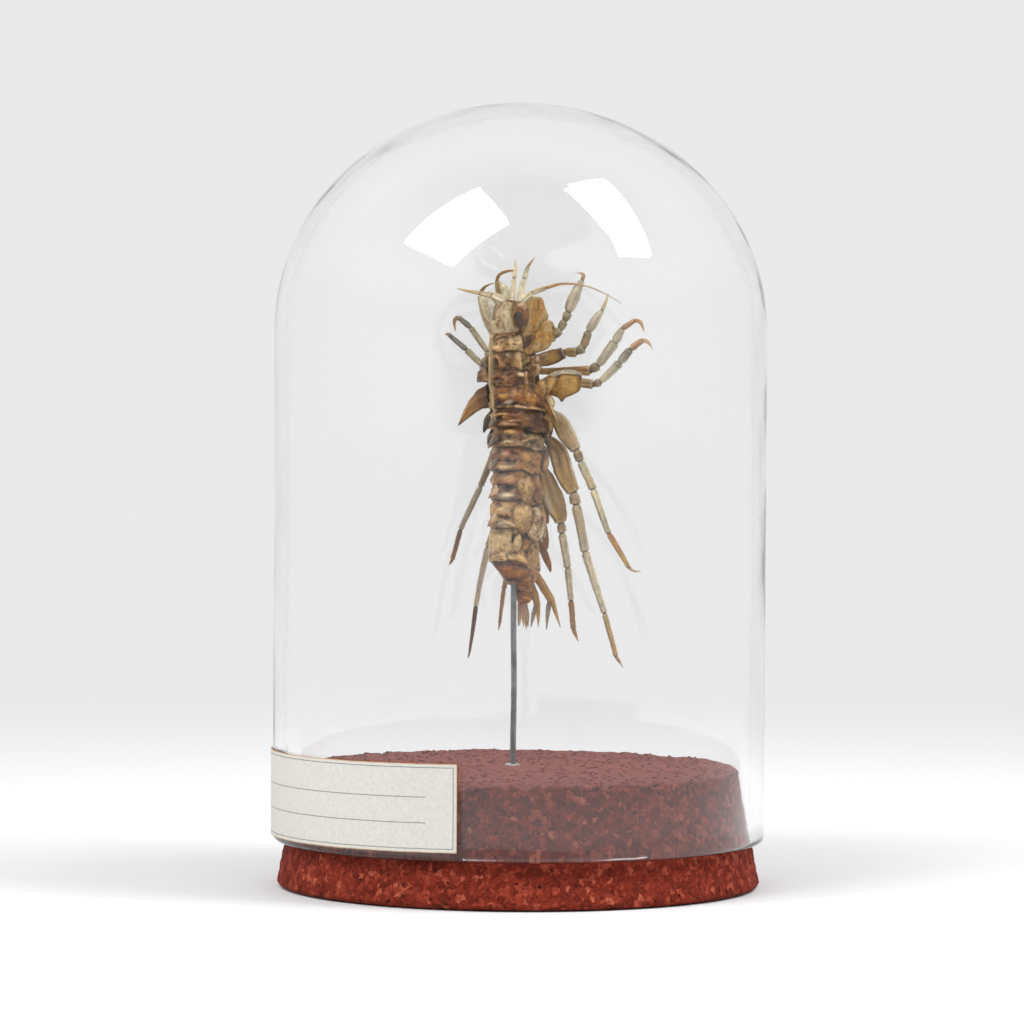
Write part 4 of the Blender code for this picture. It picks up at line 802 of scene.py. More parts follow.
def cork_finish():
    """Pressed granules of cork under a red-brown stain: small chips, dark pores, and a paler upper face."""
    material, tree, shader = new_material("stained_agglomerated_cork", "6A2A20", 0.9,
                                          Specular_IOR_Level=0.12)
    place = add(tree, "ShaderNodeTexCoord", out="Object")
    warp = add(tree, NOISE, {"Vector": place, "Scale": per_size(CORK_PIT), "Detail": 4.0,
                             "Roughness": 0.65}, "Color")
    bent = add(tree, MIX, {0: 0.0014, 4: place, 5: warp}, 1, data_type="VECTOR")
    chips = {"Vector": bent, "Scale": per_size(CORK_CHIP)}
    cell = add(tree, VORONOI, chips, "Color")
    edge = add(tree, VORONOI, chips, "Distance", feature="DISTANCE_TO_EDGE")
    lot = add(tree, "ShaderNodeSeparateColor", {"Color": cell}, "Red")
    chip = add(tree, RAMP, {"Fac": lot}, "Color", ((0.0, "5C1E13"), (0.3, "6E2518"), (0.7, "802F20"),
                                                   (0.92, "903C2A"), (1.0, "A6533E")))
    fine = add(tree, NOISE, {"Vector": place, "Scale": per_size(CORK_GRAIN), "Detail": 5.0,
                             "Roughness": 0.75}, "Fac")
    shade = add(tree, RAMP, {"Fac": fine}, "Color", ((0.3, 0.4), (0.48, 0.97), (0.68, 1.7)))
    grained = add(tree, MIX, {0: 0.9, 6: chip, 7: shade}, 2, **MULTIPLIED)
    seam = add(tree, RAMP, {"Fac": edge}, "Color", ((0.0, 0.6), (0.1, 1.0)))
    seamed = add(tree, MIX, {0: 0.6, 6: grained, 7: seam}, 2, **MULTIPLIED)
    pits = add(tree, VORONOI, {"Vector": bent, "Scale": per_size(CORK_PIT)})
    kept = add(tree, "ShaderNodeSeparateColor", {"Color": pits.outputs["Color"]}, "Green")
    wide = add(tree, RANGE, {0: kept, 1: 0.7, 2: 1.0, 3: 0.0, 4: 0.36}, 0)
    inside = add(tree, MATH, {0: pits.outputs["Distance"], 1: wide}, 0, operation="LESS_THAN")
    pitted = add(tree, MIX, {0: inside, 6: seamed, 7: rgba("2C0F0C")}, 2, **MIXED)
    flecks = add(tree, NOISE, {"Vector": place, "Scale": per_size(CORK_FLECK), "Detail": 3.0,
                               "Roughness": 0.8}, "Fac")
    light = add(tree, RAMP, {"Fac": flecks}, "Color", ((0.62, 0.0), (0.7, 0.7)))
    flecked = add(tree, MIX, {0: light, 6: pitted, 7: rgba("A0624C")}, 2, **MIXED)
    normal = add(tree, "ShaderNodeNewGeometry", out="Normal")
    upward = add(tree, "ShaderNodeSeparateXYZ", {"Vector": normal}, "Z")
    # Faces that look upwards are paled towards a light pink.
    upward_pale = add(tree, RANGE, {0: upward, 1: 0.5, 2: 0.95, 3: 0.0, 4: 0.45}, 0)
    upward_paled = add(tree, MIX, {0: upward_pale, 6: flecked, 7: rgba("B8726B")}, 2, **MIXED)
    solid = add(tree, MATH, {0: fine, 1: inside}, 0, operation="SUBTRACT")
    rough = add(tree, BUMP, {"Height": solid, "Distance": 0.25 * MM, "Strength": 0.8}, "Normal")
    feed(tree, shader, {"Base Color": upward_paled, "Normal": rough})
    return material


def glass_finish():
    """Clear blown glass: smooth and without a tint; its rounded edges show as dark lines."""
    return new_material("blown_clear_glass", "FFFFFF", 0.0, Transmission_Weight=1.0, IOR=1.5)[0]


def paper_finish():
    """Uncoated cream paper with a thin printed frame and two ruled lines, browned at its cut edges."""
    material, tree, shader = new_material("cream_label_paper", "E4E1D4", 0.8)
    flat = add(tree, "ShaderNodeSeparateXYZ", {"Vector": add(tree, "ShaderNodeUVMap", out="UV")})
    across = flat.outputs["X"]
    up = flat.outputs["Y"]
    from_middle = add(tree, MATH, {0: across}, 0, operation="ABSOLUTE")
    from_centre_line = add(tree, MATH, {0: up}, 0, operation="ABSOLUTE")
    half_line = LINE_WIDTH / 2
    wide = LABEL_LENGTH / 2 - FRAME_INSET
    tall = LABEL_HEIGHT / 2 - FRAME_INSET
    lines = [(from_middle, wide, up, tall + half_line), (from_centre_line, tall, across, wide + half_line)]
    lines += [(up, height, across, wide - RULE_INSET) for height in RULED_LINES]
    marks = 0.0
    for one, place, other, reach in lines:
        on_line = add(tree, MATH, {0: one, 1: place, 2: half_line}, 0, operation="COMPARE")
        within = add(tree, MATH, {0: other, 1: 0.0, 2: reach}, 0, operation="COMPARE")
        line = add(tree, MATH, {0: on_line, 1: within}, 0, operation="MULTIPLY")
        marks = add(tree, MATH, {0: marks, 1: line}, 0, operation="MAXIMUM")
    ends = add(tree, MATH, {0: from_middle, 1: LABEL_LENGTH / 2, 2: EDGE_STAIN}, 0, operation="COMPARE")
    sides = add(tree, MATH, {0: from_centre_line, 1: LABEL_HEIGHT / 2, 2: EDGE_STAIN}, 0, operation="COMPARE")
    cut = add(tree, MATH, {0: ends, 1: sides}, 0, operation="MAXIMUM")
    fibre = add(tree, NOISE, {"Vector": add(tree, "ShaderNodeTexCoord", out="Object"),
                              "Scale": per_size(PAPER_FIBRE), "Detail": 4.0, "Roughness": 0.6}, "Fac")
    sheet = add(tree, RAMP, {"Fac": fibre}, "Color", ((0.3, "C5C3BB"), (0.7, "D2D0C9")))
    stained = add(tree, MIX, {0: cut, 6: sheet, 7: rgba("BE9A70")}, 2, **MIXED)
    ink = add(tree, MATH, {0: marks, 1: 0.75}, 0, operation="MULTIPLY")
    printed = add(tree, MIX, {0: ink, 6: stained, 7: rgba("6E6C68")}, 2, **MIXED)
    tooth = add(tree, BUMP, {"Height": fibre, "Distance": 0.03 * MM, "Strength": 0.5}, "Normal")
    feed(tree, shader, {"Base Color": printed, "Normal": tooth})
    return material


def steel_finish():
    """Drawn steel wire gone dull, with scratches along it."""
    material, tree, shader = new_material("dull_drawn_steel", "7C7F83", 0.38, Metallic=1.0)
    place = add(tree, "ShaderNodeTexCoord", out="Object")
    stretched = add(tree, "ShaderNodeMapping", {"Vector": place, "Scale": (1.0, 1.0, 0.05)}, "Vector")
    scratch = add(tree, NOISE, {"Vector": stretched, "Scale": per_size(STEEL_SCRATCH), "Detail": 4.0,
                                "Roughness": 0.7}, "Fac")
    dull = add(tree, RAMP, {"Fac": scratch}, "Color", ((0.3, 0.3), (0.7, 0.52)))
    stain = add(tree, NOISE, {"Vector": place, "Scale": per_size(STEEL_STAIN), "Detail": 4.0,
                              "Roughness": 0.6}, "Fac")
    tone = add(tree, RAMP, {"Fac": stain}, "Color", ((0.35, "64676B"), (0.6, "8A8D90")))
    feed(tree, shader, {"Base Color": tone, "Roughness": dull})
    return material


def make_materials():
    """Finishes by short name."""
    return {
        # Armour dried to a mottled brown with a dull shine
        "shell": chitin("dried_mottled_shell", 0.33, 0.6, 0.3, 0.0, "F4DAB0"),
        # Thin side plates that dried clear as amber and catch sharper lights
        "plate": chitin("glossy_amber_plate", 0.24, 0.3, 0.5, 0.1, "FFF2D8"),
        # Hollow leg shells that let some light through
        "leg": chitin("dried_pale_leg_shell", 0.36, 0.4, 0.12, 0.18, "FFFAF0"),
        # Wet-looking black beads with one bright light
        "eye": chitin("glossy_black_eye", 0.12, 0.3, 0.6, 0.0),
        # White glue gone chalky
        "glue": chitin("dried_white_glue", 0.5, 0.3, 0.0, 0.2),
        "cork": cork_finish(),
        "glass": glass_finish(),
        "paper": paper_finish(),
        "steel": steel_finish(),
    }


def smoothstep(value):
    value = np.clip(value, 0.0, 1.0)
    return value * value * (3.0 - 2.0 * value)


def unit(vectors):
    return vectors / np.maximum(np.linalg.norm(vectors, axis=-1, keepdims=True), 1e-9)


def turns(count):
    """Evenly spaced angles round a full turn."""
    return 2.0 * math.pi * np.arange(count) / count


def spline(rows, places):
    """Curve through rows of numbers, read at fractional row numbers."""
    rows = np.asarray(rows, dtype=float)
    padded = np.vstack((2 * rows[0] - rows[1], rows, 2 * rows[-1] - rows[-2]))
    index = np.clip(np.floor(places).astype(int), 0, len(rows) - 2)
    u = (places - index)[:, None]
    a, b, c, d = (padded[index + k] for k in range(4))
    cubic = 3 * b - a - 3 * c + d
    return 0.5 * (2 * b + (c - a) * u + (2 * a - 5 * b + 4 * c - d) * u ** 2 + cubic * u ** 3)


def wobble(points, size, seed=0.0, octaves=3):
    """Fractal noise of about -1 to 1 at points, with features of this size in mm."""
    flat = np.asarray(points, dtype=float).reshape(-1, 3) / size + (seed, seed * 1.7, seed * 0.3)
    values = [noise.fractal(Vector(point), 0.8, 2.0, octaves) for point in flat]
    return np.array(values).reshape(np.shape(points)[:-1])


def drawn_out(q, run, q_scale, run_scale, seed, octaves, shift=0.0):
    """Noise stretched along a limb or a plate; q runs across it and run along it."""
    spots = np.stack(np.broadcast_arrays(q * q_scale, run * run_scale, 0 * run + seed), axis=-1)
    return wobble(spots, 1.0, seed + shift, octaves)


def blend(base, color, amount):
    """Blend tints towards a colour by an amount of 0 to 1 at each point."""
    return base + (color - base) * np.clip(amount, 0.0, 1.0)[..., None]


def plain_tints(rings, name):
    return np.broadcast_to(tint(name), rings.shape)


def place_piece(name, mesh, material, nodes):
    """Link a mesh as a piece of the object that stands in for these CAD nodes."""
    mesh.materials.append(material)
    piece = bpy.data.objects.new(name, mesh)
    bpy.context.scene.collection.objects.link(piece)
    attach(piece, "root")
    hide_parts(*nodes)
    return piece


def signed_volume(points, faces):
    one, two, three, four = (points[faces[:, k]] for k in range(4))
    first = np.einsum("ij,ij->i", one, np.cross(two, three)).sum()
    second = np.einsum("ij,ij->i", one, np.cross(three, four)).sum()
    return (first + second) / 6.0


def grid_shell(rings, tints):
    """Points, quads and tints over closed rings, shut at both ends; faces look outwards."""
    rows, count = rings.shape[:2]
    ends = np.array((rings[0].mean(axis=0), rings[-1].mean(axis=0)))
    points = np.vstack((rings.reshape(-1, 3), ends))
    colors = np.vstack((tints.reshape(-1, 3), tints[0].mean(axis=0), tints[-1].mean(axis=0)))
    row, column = np.meshgrid(np.arange(rows - 1), np.arange(count), indexing="ij")
    here = (row * count + column).ravel()
    there = (row * count + (column + 1) % count).ravel()
    faces = np.stack((here, there, there + count, here + count), axis=1)
    around = np.arange(count)
    following = (around + 1) % count
    last = (rows - 1) * count
    first_end = np.full(count, rows * count)
    top = np.stack((following, around, first_end, first_end), axis=1)
    low = np.stack((last + around, last + following, first_end + 1, first_end + 1), axis=1)
    faces = np.vstack((faces, top, low))
    if signed_volume(points, faces) < 0.0:
        faces = faces[:, ::-1]
    return points, faces, colors


def tidy_face(face):
    """A quad whose last two corners meet is a triangle."""
    corners = []
    for corner in face:
        if corner not in corners:
            corners.append(corner)
    return corners


def build_mesh(name, shells):
    """One mesh out of several shells of points, faces, tints."""
    points = np.vstack([shell[0] for shell in shells])
    colors = np.vstack([shell[2] for shell in shells])
    faces = []
    start = 0
    for shell in shells:
        faces.extend(tidy_face(face) for face in (shell[1] + start).tolist())
        start += len(shell[0])
    mesh = bpy.data.meshes.new(name)
    mesh.from_pydata((points * MM).tolist(), [], faces)
    mesh.update()
    mesh.shade_smooth()
    layer = mesh.color_attributes.new("tint", "FLOAT_COLOR", "POINT")
    flat = np.ones((len(points), 4))
    flat[:, :3] = np.clip(colors, 0.0, 1.0)
    layer.data.foreach_set("color", flat.ravel())
    return mesh


def trunk_rings():
    """Rings of the trunk from the head down: z, middle x, middle y, half width, back, belly."""
    rings = list(HEAD_RINGS)
    for front, rear, x, y, width, back, belly in SEGMENTS.values():
        rings.append((front - LIP_DROP, x, y, width * FRONT_TUCK, back * FRONT_TUCK, belly * FRONT_TUCK))
        rings.append((rear, x, y, width, back, belly))
    rings.extend(TAIL_RINGS)
    return np.array(rings)


RINGS = trunk_rings()


def ring_value(z, column):
    """Middle x or y, or the size, of the trunk at a height."""
    return float(np.interp(-z, -RINGS[:, 0], RINGS[:, column]))


def on_body(z, sideways, backwards):
    centre = np.array((ring_value(z, 1), ring_value(z, 2), z))
    return centre + RIGHT_SIDE * sideways + BACK_SIDE * backwards


def body_row(rows, side):
    """Stations of a growth given as z, sideways, backwards, width."""
    return [(*on_body(z, side * out, back), width) for z, out, back, width in rows]


def mirrored(point):
    """The same place on the animal's other side."""
    centre = on_body(point[2], 0.0, 0.0)
    return point - RIGHT_SIDE * (2.0 * (point - centre).dot(RIGHT_SIDE))


def trunk_rows():
    """Fine rows down the trunk: z, middle x, middle y, size, part number, share of the part."""
    rows = []
    places = np.linspace(0, len(HEAD_SIZES) - 1, HEAD_ROWS)
    for share, row in zip(np.linspace(0, 1, HEAD_ROWS), spline(HEAD_SIZES, places)):
        rows.append((*row, 0, share))
    for number, (name, (front, rear, _, y, *_)) in enumerate(SEGMENTS.items()):
        x, size = TRUNK_SIZES[name]
        for share in np.linspace(0.0, 1.0, int((front - rear) / TRUNK_STEP)):
            tuck = FRONT_TUCK + (1.0 - FRONT_TUCK) * smoothstep(share / 0.35)
            lip = 1.0 + 0.03 * smoothstep((share - 0.7) / 0.2) - 0.04 * smoothstep((share - 0.94) / 0.06)
            rows.append((front - (front - rear) * share, x, y, size * tuck * lip, number + 1, share))
        for drop, shrink in HINGE_STEPS:
            rows.append((rear - drop, x, y, size * shrink, number + 1, 1.0))
    tail = np.array(TAIL_SIZES)
    for share, place in zip(np.linspace(0, 1, TAIL_ROWS), np.linspace(0, len(tail) - 1, TAIL_ROWS)):
        low = min(int(place), len(tail) - 2)
        rows.append((*(tail[low] + (tail[low + 1] - tail[low]) * (place - low)), len(SEGMENTS) + 1, share))
    rows = np.array(rows)
    middles = rows[:, 1:3].copy()
    for _ in range(6):
        middles[1:-1] = (middles[:-2] + middles[1:-1] + middles[2:]) / 3.0
    rows[:, 1:3] = middles
    return rows


def trunk_surface(rows, turn):
    """Points of the bare trunk, the way outwards at each, and the arc from the keel in mm."""
    z = rows[:, 0:1]
    size = rows[:, 3:4]
    sin = np.sin(turn)
    cos = np.cos(turn)
    roof = np.abs(sin) ** ROOF_POWER * np.sign(sin)
    belly = sin * (1.0 - EGG_SHAPE * cos)
    sideways = TRUNK_HALF * size * np.where(cos > 0.0, roof, belly)
    backwards = size * np.where(cos > 0.0, TRUNK_BACK * np.maximum(cos, 0.0) ** ROOF_POWER, TRUNK_BELLY * cos)
    right = np.array((math.cos(TRUNK_TURN), -math.sin(TRUNK_TURN), 0.0))
    back = np.array((-math.sin(TRUNK_TURN), -math.cos(TRUNK_TURN), 0.0))
    out = right * sideways[..., None] + back * backwards[..., None]
    sag = np.interp(-z, SAG_PLACES, SAG_DROPS)
    points = rows[:, None, [1, 2, 0]] + out
    drop = sag * smoothstep((np.abs(np.degrees(turn)) - 50.0) / 45.0)
    points[..., 2] -= drop + 0.5 * wobble(points, 5.0, 41.0, 2)
    steps = np.linalg.norm(np.roll(points, -1, axis=1) - points, axis=2)
    arc = np.cumsum(steps, axis=1)
    middle = TRUNK_POINTS // 2
    return points, unit(out), arc - arc[:, middle:middle + 1]


def soften(values, passes):
    """Average a grid with its neighbours; it is closed across and open along."""
    for _ in range(passes):
        wide = (np.roll(values, 1, axis=1) + values + np.roll(values, -1, axis=1)) / 3.0
        values = wide.copy()
        values[1:-1] = (wide[:-2] + wide[1:-1] + wide[2:]) / 3.0
    return values


def line_distance(z, arc, places):
    """Distance from each point to a line through places, all as z and arc in mm."""
    nearest = np.full(np.shape(arc), 99.0)
    for (z0, a0), (z1, a1) in zip(places, places[1:]):
        dz = z1 - z0
        da = a1 - a0
        share = np.clip(((z - z0) * dz + (arc - a0) * da) / (dz * dz + da * da), 0.0, 1.0)
        nearest = np.minimum(nearest, np.hypot(z - z0 - dz * share, arc - a0 - da * share))
    return nearest


def angle_column(angle):
    """Column of the trunk's rings at this many degrees from the keel."""
    return int(round((angle + 180.0) / 360.0 * TRUNK_POINTS)) % TRUNK_POINTS


def mark_weights(rows, arc, fine, rough):
    """Each mark and line of the trunk as its tint, strength of paint, weights and relief."""
    z = rows[:, 0:1]
    part = rows[:, 4].astype(int)

    def column(angle):
        angle = np.interp(angle, *CROWDED_ANGLES)
        return angle_column(angle), angle_column(-angle)

    for name, marks in MARKS.items():
        inside = (part == PART_NAMES.index(name))[:, None]
        front, rear = z[inside].max(), z[inside].min()
        for place, angle, long, wide, shade, strength, raised in marks:
            for anchor, keep in zip(column(angle), (1.0, 0.85)):
                down = (z - (front + (rear - front) * place)) / long
                across = (arc - arc[:, anchor][:, None]) / wide
                far = np.sqrt(down ** 2 + across ** 2) + 0.35 * fine + 0.25 * rough
                weight = np.exp(-np.maximum(far, 0.0) ** 3) * inside * keep
                yield tint(shade) * (1.0 + 0.25 * fine)[..., None], strength, weight, raised
    for name, lines in LINES.items():
        inside = (part == PART_NAMES.index(name))[:, None]
        front, rear = z[inside].max(), z[inside].min()
        sample = int(np.argmax(inside)) + 8
        for places, half, shade, strength, raised in lines:
            for side in (0, 1):
                path = [(front + (rear - front) * share, arc[sample, column(angle)[side]])
                        for share, angle in places]
                far = np.maximum(line_distance(z, arc, path) + 0.2 * rough + 0.14 * fine, 0.0)
                weight = np.exp(-(far / (half * 1.25)) ** 2) * inside
                yield tint(shade), strength * 0.85, weight, raised


def make_trunk():
    """Head, armoured segments and tail, with their ridges, hollows and painted marks, and with painted light
    on ridges and rims and painted shade in hollows, cracks and hinges.
    """
    rows = trunk_rows()
    z = rows[:, 0:1]
    part = rows[:, 4].astype(int)
    share = rows[:, 5:6]
    turn = np.linspace(-math.pi, math.pi, TRUNK_POINTS, endpoint=False)[None, :]
    points, away, arc = trunk_surface(rows, turn)
    keel = np.exp(-(arc / KEEL_WIDTH) ** 2)
    angle = np.abs(np.degrees(turn))
    flat = 0.0 * arc
    shades = np.array([tint_row(TRUNK_TINTS[name]) for name in PART_NAMES])[part]
    tints = blend(np.broadcast_to(shades[:, None, 0], points.shape), shades[:, None, 1],
                  smoothstep((angle - 35.0) / 45.0) + flat)
    tints = blend(tints, shades[:, None, 2], smoothstep((angle - 115.0) / 35.0) + flat)

    rough = wobble(points, 1.5, 3.0, 4)
    fine = wobble(points * (1.0, 1.0, 2.0), 0.6, 9.0, 3)
    creases = 1.0 - 2.2 * np.abs(wobble(points * (0.8, 0.8, 1.7), 1.3, 17.0, 3))
    armour = ((part > 0) & (part <= len(SEGMENTS)))[:, None] * 1.0
    cracks = armour * np.clip(1.0 - 12.0 * np.abs(wobble(points * (0.9, 0.9, 1.6), 2.6, 31.0, 2)), 0.0, 1.0)
    relief = 0.26 * rough + 0.05 * fine + 0.08 * creases - 0.08 * cracks
    tints = tints * (1.0 + 0.3 * rough + 0.25 * fine)[..., None]
    # Cracks sink into the relief, and their tint is darkened towards brown as painted shade in them.
    tints = blend(tints, tint("brown"), 0.4 * cracks)
    for color, strength, weight, raised in mark_weights(rows, arc, fine, rough):
        tints = blend(tints, color, weight * strength)
        relief = relief + weight * raised

    rope = armour * keel
    relief = relief * (1.0 - 0.6 * rope) + KEEL_HEIGHT * rope * (0.8 + 0.5 * fine)
    # Painted light and shade: ridges of the relief are lightened as if lit and its hollows darkened as if
    # shaded, at a near and a wide scale.
    near_relief_light_and_shade = np.clip((relief - soften(relief, 10)) / 0.15, -1.0, 1.0)
    wide_relief_light_and_shade = np.clip((relief - soften(relief, 70)) / 0.3, -1.0, 1.0)
    relief_light_and_shade = 0.4 * near_relief_light_and_shade + 0.6 * wide_relief_light_and_shade
    tints = tints * (1.0 + np.maximum(relief_light_and_shade, 0.0) * 0.55)[..., None]
    tints = tints * (1.0 + np.minimum(relief_light_and_shade, 0.0)[..., None] * (0.8, 0.95, 1.1))
    # Painted shade: a dark band in the crevice at the front and rear of each segment, where it tucks under
    # its neighbour.
    hinge = np.exp(-(share / (0.05 + 0.03 * rough)) ** 2) + (share >= 1.0) * 1.0
    tints = blend(tints, tint("joint_dark"), armour * hinge * 0.9 + flat)
    # Painted highlight: a pale beige line just before each segment's rear rim, broken by noise.
    edge = np.exp(-((share - 0.95) / 0.03) ** 2) * np.clip(0.5 + 1.5 * rough, 0.0, 1.0)
    tints = blend(tints, tint("beige"), armour * edge * 0.5)
    tints = blend(tints, tint("bone") * (1.0 + 0.3 * fine)[..., None], rope * 0.8 * (z > 70.0))
    return build_mesh("trunk_shell", [grid_shell(points + away * relief[..., None], tints)])


def tube_rings(points, widths, thickness, facing, sides, rib=0.0, groove=0.0, rim=0.0):
    """Rings of an oval tube; rib, groove and rim shape its flat side as shares of the thickness."""
    along = unit(np.gradient(points, axis=0))
    for _ in range(3):
        along = unit(np.vstack((along[:1], (along[:-2] + along[1:-1] + along[2:]), along[-1:])))
    normal = unit(facing - along * (along @ facing)[:, None])
    across = np.cross(along, normal)
    q = np.cos(turns(sides))
    lift = rib * np.exp(-(q / 0.14) ** 2) - groove * np.exp(-((q - 0.15) / 0.3) ** 2)
    lift = lift + rim * np.exp(-((np.abs(q) - 0.85) / 0.1) ** 2)
    high = (thickness[:, None] / 2) * np.sin(turns(sides)) * (1.0 + lift)
    wide = (widths[:, None] / 2) * q
    return points[:, None] + across[:, None] * wide[..., None] + normal[:, None] * high[..., None]


def article_curve(rows, step):
    """Points and widths along one article, and the distances from its two ends."""
    rows = np.array(rows)
    length = np.linalg.norm(np.diff(rows[:, :3], axis=0), axis=1).sum()
    places = np.linspace(0.0, len(rows) - 1, max(8, int(length / step)))
    curve = spline(rows, places) if len(rows) > 2 else rows[0] + (rows[1] - rows[0]) * places[:, None]
    run = np.concatenate(((0.0,), np.cumsum(np.linalg.norm(np.diff(curve[:, :3], axis=0), axis=1))))
    return curve[:, :3], np.maximum(curve[:, 3], 0.05), run, run[-1] - run


def paint_limb(run, q, seed, pair, share):
    """Tint along an article, with streaks along it and a few blotches; also returns the streaks."""
    base = blend(np.broadcast_to(tint(pair[0]), (*np.shape(run + q), 3)), tint(pair[1]), share + 0 * q)
    streak = drawn_out(q, run, 3.2, 0.35, seed, 3)
    blotch = drawn_out(q, run, 1.2, 1.1, seed, 3, shift=5)
    return base * (1.0 + 0.3 * streak + 0.22 * blotch)[..., None], streak


def make_limb(name, rows, facing, seed):
    """One closed tube per limb: articles that flare at their far end, with dark pinched joints."""
    pairs = [pair.split("-") for pair in LIMB_TINTS[name].split()]
    places = np.array([row[:4] for row in rows])
    bury = places[0].copy()
    bury[:3] += unit(places[0, :3] - places[1, :3]) * ROOT_BURY
    places = np.vstack((bury, places))
    stops = [0] + [index + 1 for index, row in enumerate(rows) if "joint" in row] + [len(places) - 1]
    rings = []
    tints = []
    q = np.cos(turns(LIMB_SIDES))[None, :]
    seen = np.sin(turns(LIMB_SIDES))[None, :] > 0
    for number, (first, last) in enumerate(zip(stops, stops[1:])):
        points, widths, run, left = article_curve(places[first:last + 1], LIMB_STEP)
        down = run[:, None]
        share = (run / run[-1])[:, None]
        final = last == stops[-1]
        if number:
            widths = widths * (0.6 + 0.4 * smoothstep(run / (0.35 * widths[0] + 0.12)))
        if not final:
            flare = (1.0 + 0.12 * np.exp(-((left - 0.25) / 0.2) ** 2)) * (0.6 + 0.4 * smoothstep(left / 0.15))
            widths = widths * flare
        thickness = np.minimum(widths * LEG_FLATNESS, LEG_THICKNESS_MAX)
        broad = smoothstep((widths.max() - 1.9) / 0.8)
        part = tube_rings(points, widths, thickness, facing, LIMB_SIDES, 0.35 * broad,
                          0.22 * (1.0 - broad) + 0.1, 0.2 * broad)
        paint, streak = paint_limb(down, q, seed + number * 3.1, pairs[number], share)
        # Painted shade: a brown line down the groove on the seen side of each article.
        paint = blend(paint, tint("brown"), np.exp(-((q - 0.15) / 0.12) ** 2) * 0.25 * seen + 0 * share)
        ribs = broad * np.clip(0.5 + 2.2 * np.sin(q * 13.0 + 2.0 * streak), 0.0, 1.0)
        paint = blend(paint, tint("warm_brown"), ribs * 0.4)
        # Painted shade along both sides of each article, as a see-through shell darkens towards its edges;
        # streaks vary it.
        edge = smoothstep((np.abs(q) - 0.8) / 0.12) * (0.3 + 0.2 * broad + 0.4 * streak)
        paint = blend(paint, tint("brown"), edge)
        for article, place, side, long, wide, shade, strength in LIMB_MARKS.get(name, ()):
            if article == number:
                far = np.hypot((down - place * run[-1]) / long, (q - side) / wide) + 0.3 * streak
                paint = blend(paint, tint(shade), np.exp(-np.maximum(far, 0.0) ** 3) * strength)
        if number:
            paint = blend(paint, tint("joint_dark"), np.exp(-(down / 0.13) ** 2) * 0.85 + 0 * q)
        if not final:
            from_end = left[:, None]
            paint = blend(paint, tint("cream"), np.exp(-((from_end - 0.3) / 0.14) ** 2) * 0.4 + 0 * q)
            paint = blend(paint, tint("joint_dark"), np.exp(-(from_end / 0.12) ** 2) * 0.85 + 0 * q)
        rings.append(part + (part - points[:, None]) * (0.09 * wobble(part, 0.9, seed, 3))[..., None])
        tints.append(paint)
    return grid_shell(np.vstack(rings), np.vstack(tints))


def make_blade(stations, facing, thickness_max, sides, seed, stops, rib=0.3, rim=0.25):
    """A plate, horn or lobe through stations of x, y, z, width; stops are tints from root to tip."""
    points, widths, run, _ = article_curve(stations, BLADE_STEP)
    thickness = np.minimum(widths * LEG_FLATNESS, thickness_max)
    rings = tube_rings(points, widths, thickness, facing, sides, rib, 0.0, rim)
    q = np.cos(turns(sides))[None, :]
    share = (run / run[-1])[:, None]
    colors = tint_row(stops)
    places = np.clip(share.ravel(), 0, 1) * (len(colors) - 1)
    paint = spline(colors, places)[:, None] + np.zeros((1, sides, 1))
    streak = drawn_out(q, run[:, None], 2.2, 0.5, seed, 4)
    paint = np.clip(paint, 0.0, 1.0) * (1.0 + 0.35 * streak)[..., None]
    paint = blend(paint, tint("umber"), smoothstep((np.abs(q) - 0.86) / 0.1) * 0.4 + 0 * share)
    rings = rings + (rings - points[:, None]) * (0.08 * wobble(rings, 1.0, seed, 3))[..., None]
    return grid_shell(rings, paint)


def closed_curve(outline, count):
    """Smooth closed curve through an outline."""
    outline = np.array(outline, dtype=float)
    around = np.vstack((outline[-2:], outline, outline[:3]))
    return spline(around, np.linspace(2.0, 2.0 + len(outline), count, endpoint=False))


def make_plate(outline, y, slope_x, slope_z, thickness, bulge, stops, edge, seed):
    """A thin curved plate with a drawn outline of x, z; it leans by its slopes and bulges to the front."""
    curve = closed_curve(outline, PLATE_POINTS)
    centre = curve.mean(axis=0)
    normal = np.array((slope_x, -1.0, slope_z)) / math.sqrt(1.0 + slope_x ** 2 + slope_z ** 2)
    outward = np.linspace(0.03, 1.0, PLATE_ROWS)
    inward = np.linspace(1.0, 0.03, PLATE_ROWS)[1:]
    reach = np.concatenate((outward, inward)) ** 0.8
    face = np.concatenate((np.ones(PLATE_ROWS), -np.ones(PLATE_ROWS - 1)))
    flat = centre + (curve - centre) * reach[:, None, None]
    away = flat - centre
    depth = y + slope_x * away[..., 0] + slope_z * away[..., 1]
    rings = np.stack((flat[..., 0], depth, flat[..., 1]), axis=-1)
    rough = wobble(rings * (1.0, 1.0, 0.5), 1.2, seed, 3)
    fine = wobble(rings, 0.45, seed + 3.0, 3)
    full = np.sqrt(np.maximum(1.0 - reach ** 6, 0.0))
    rim = 0.5 * np.exp(-((reach - 0.9) / 0.06) ** 2)
    height = bulge * (1.0 - reach ** 2) + face * thickness / 2 * (full + rim)
    lift = height[:, None] + (0.3 * rough + 0.06 * fine) * np.minimum(thickness, 0.8) * full[:, None]
    rings = rings + normal * lift[..., None]
    colors = tint_row(stops)
    tone = np.clip(0.55 + 1.1 * rough + 0.2 * fine, 0.0, 1.0)
    paint = spline(colors, tone.ravel() * (len(colors) - 1)).reshape(rings.shape)
    paint = np.clip(paint, 0.0, 1.0) * (1.0 + 0.35 * fine)[..., None]
    border = smoothstep((reach[:, None] + 0.12 * fine - 0.82) / 0.1) * (reach[:, None] < 0.97)
    return grid_shell(rings, blend(paint, tint(edge), border * 0.75))


def plate_shells(table, seed_step):
    """The plates of a table, each with a seed of its own."""
    return [make_plate(*row, index * seed_step) for index, row in enumerate(table.values())]


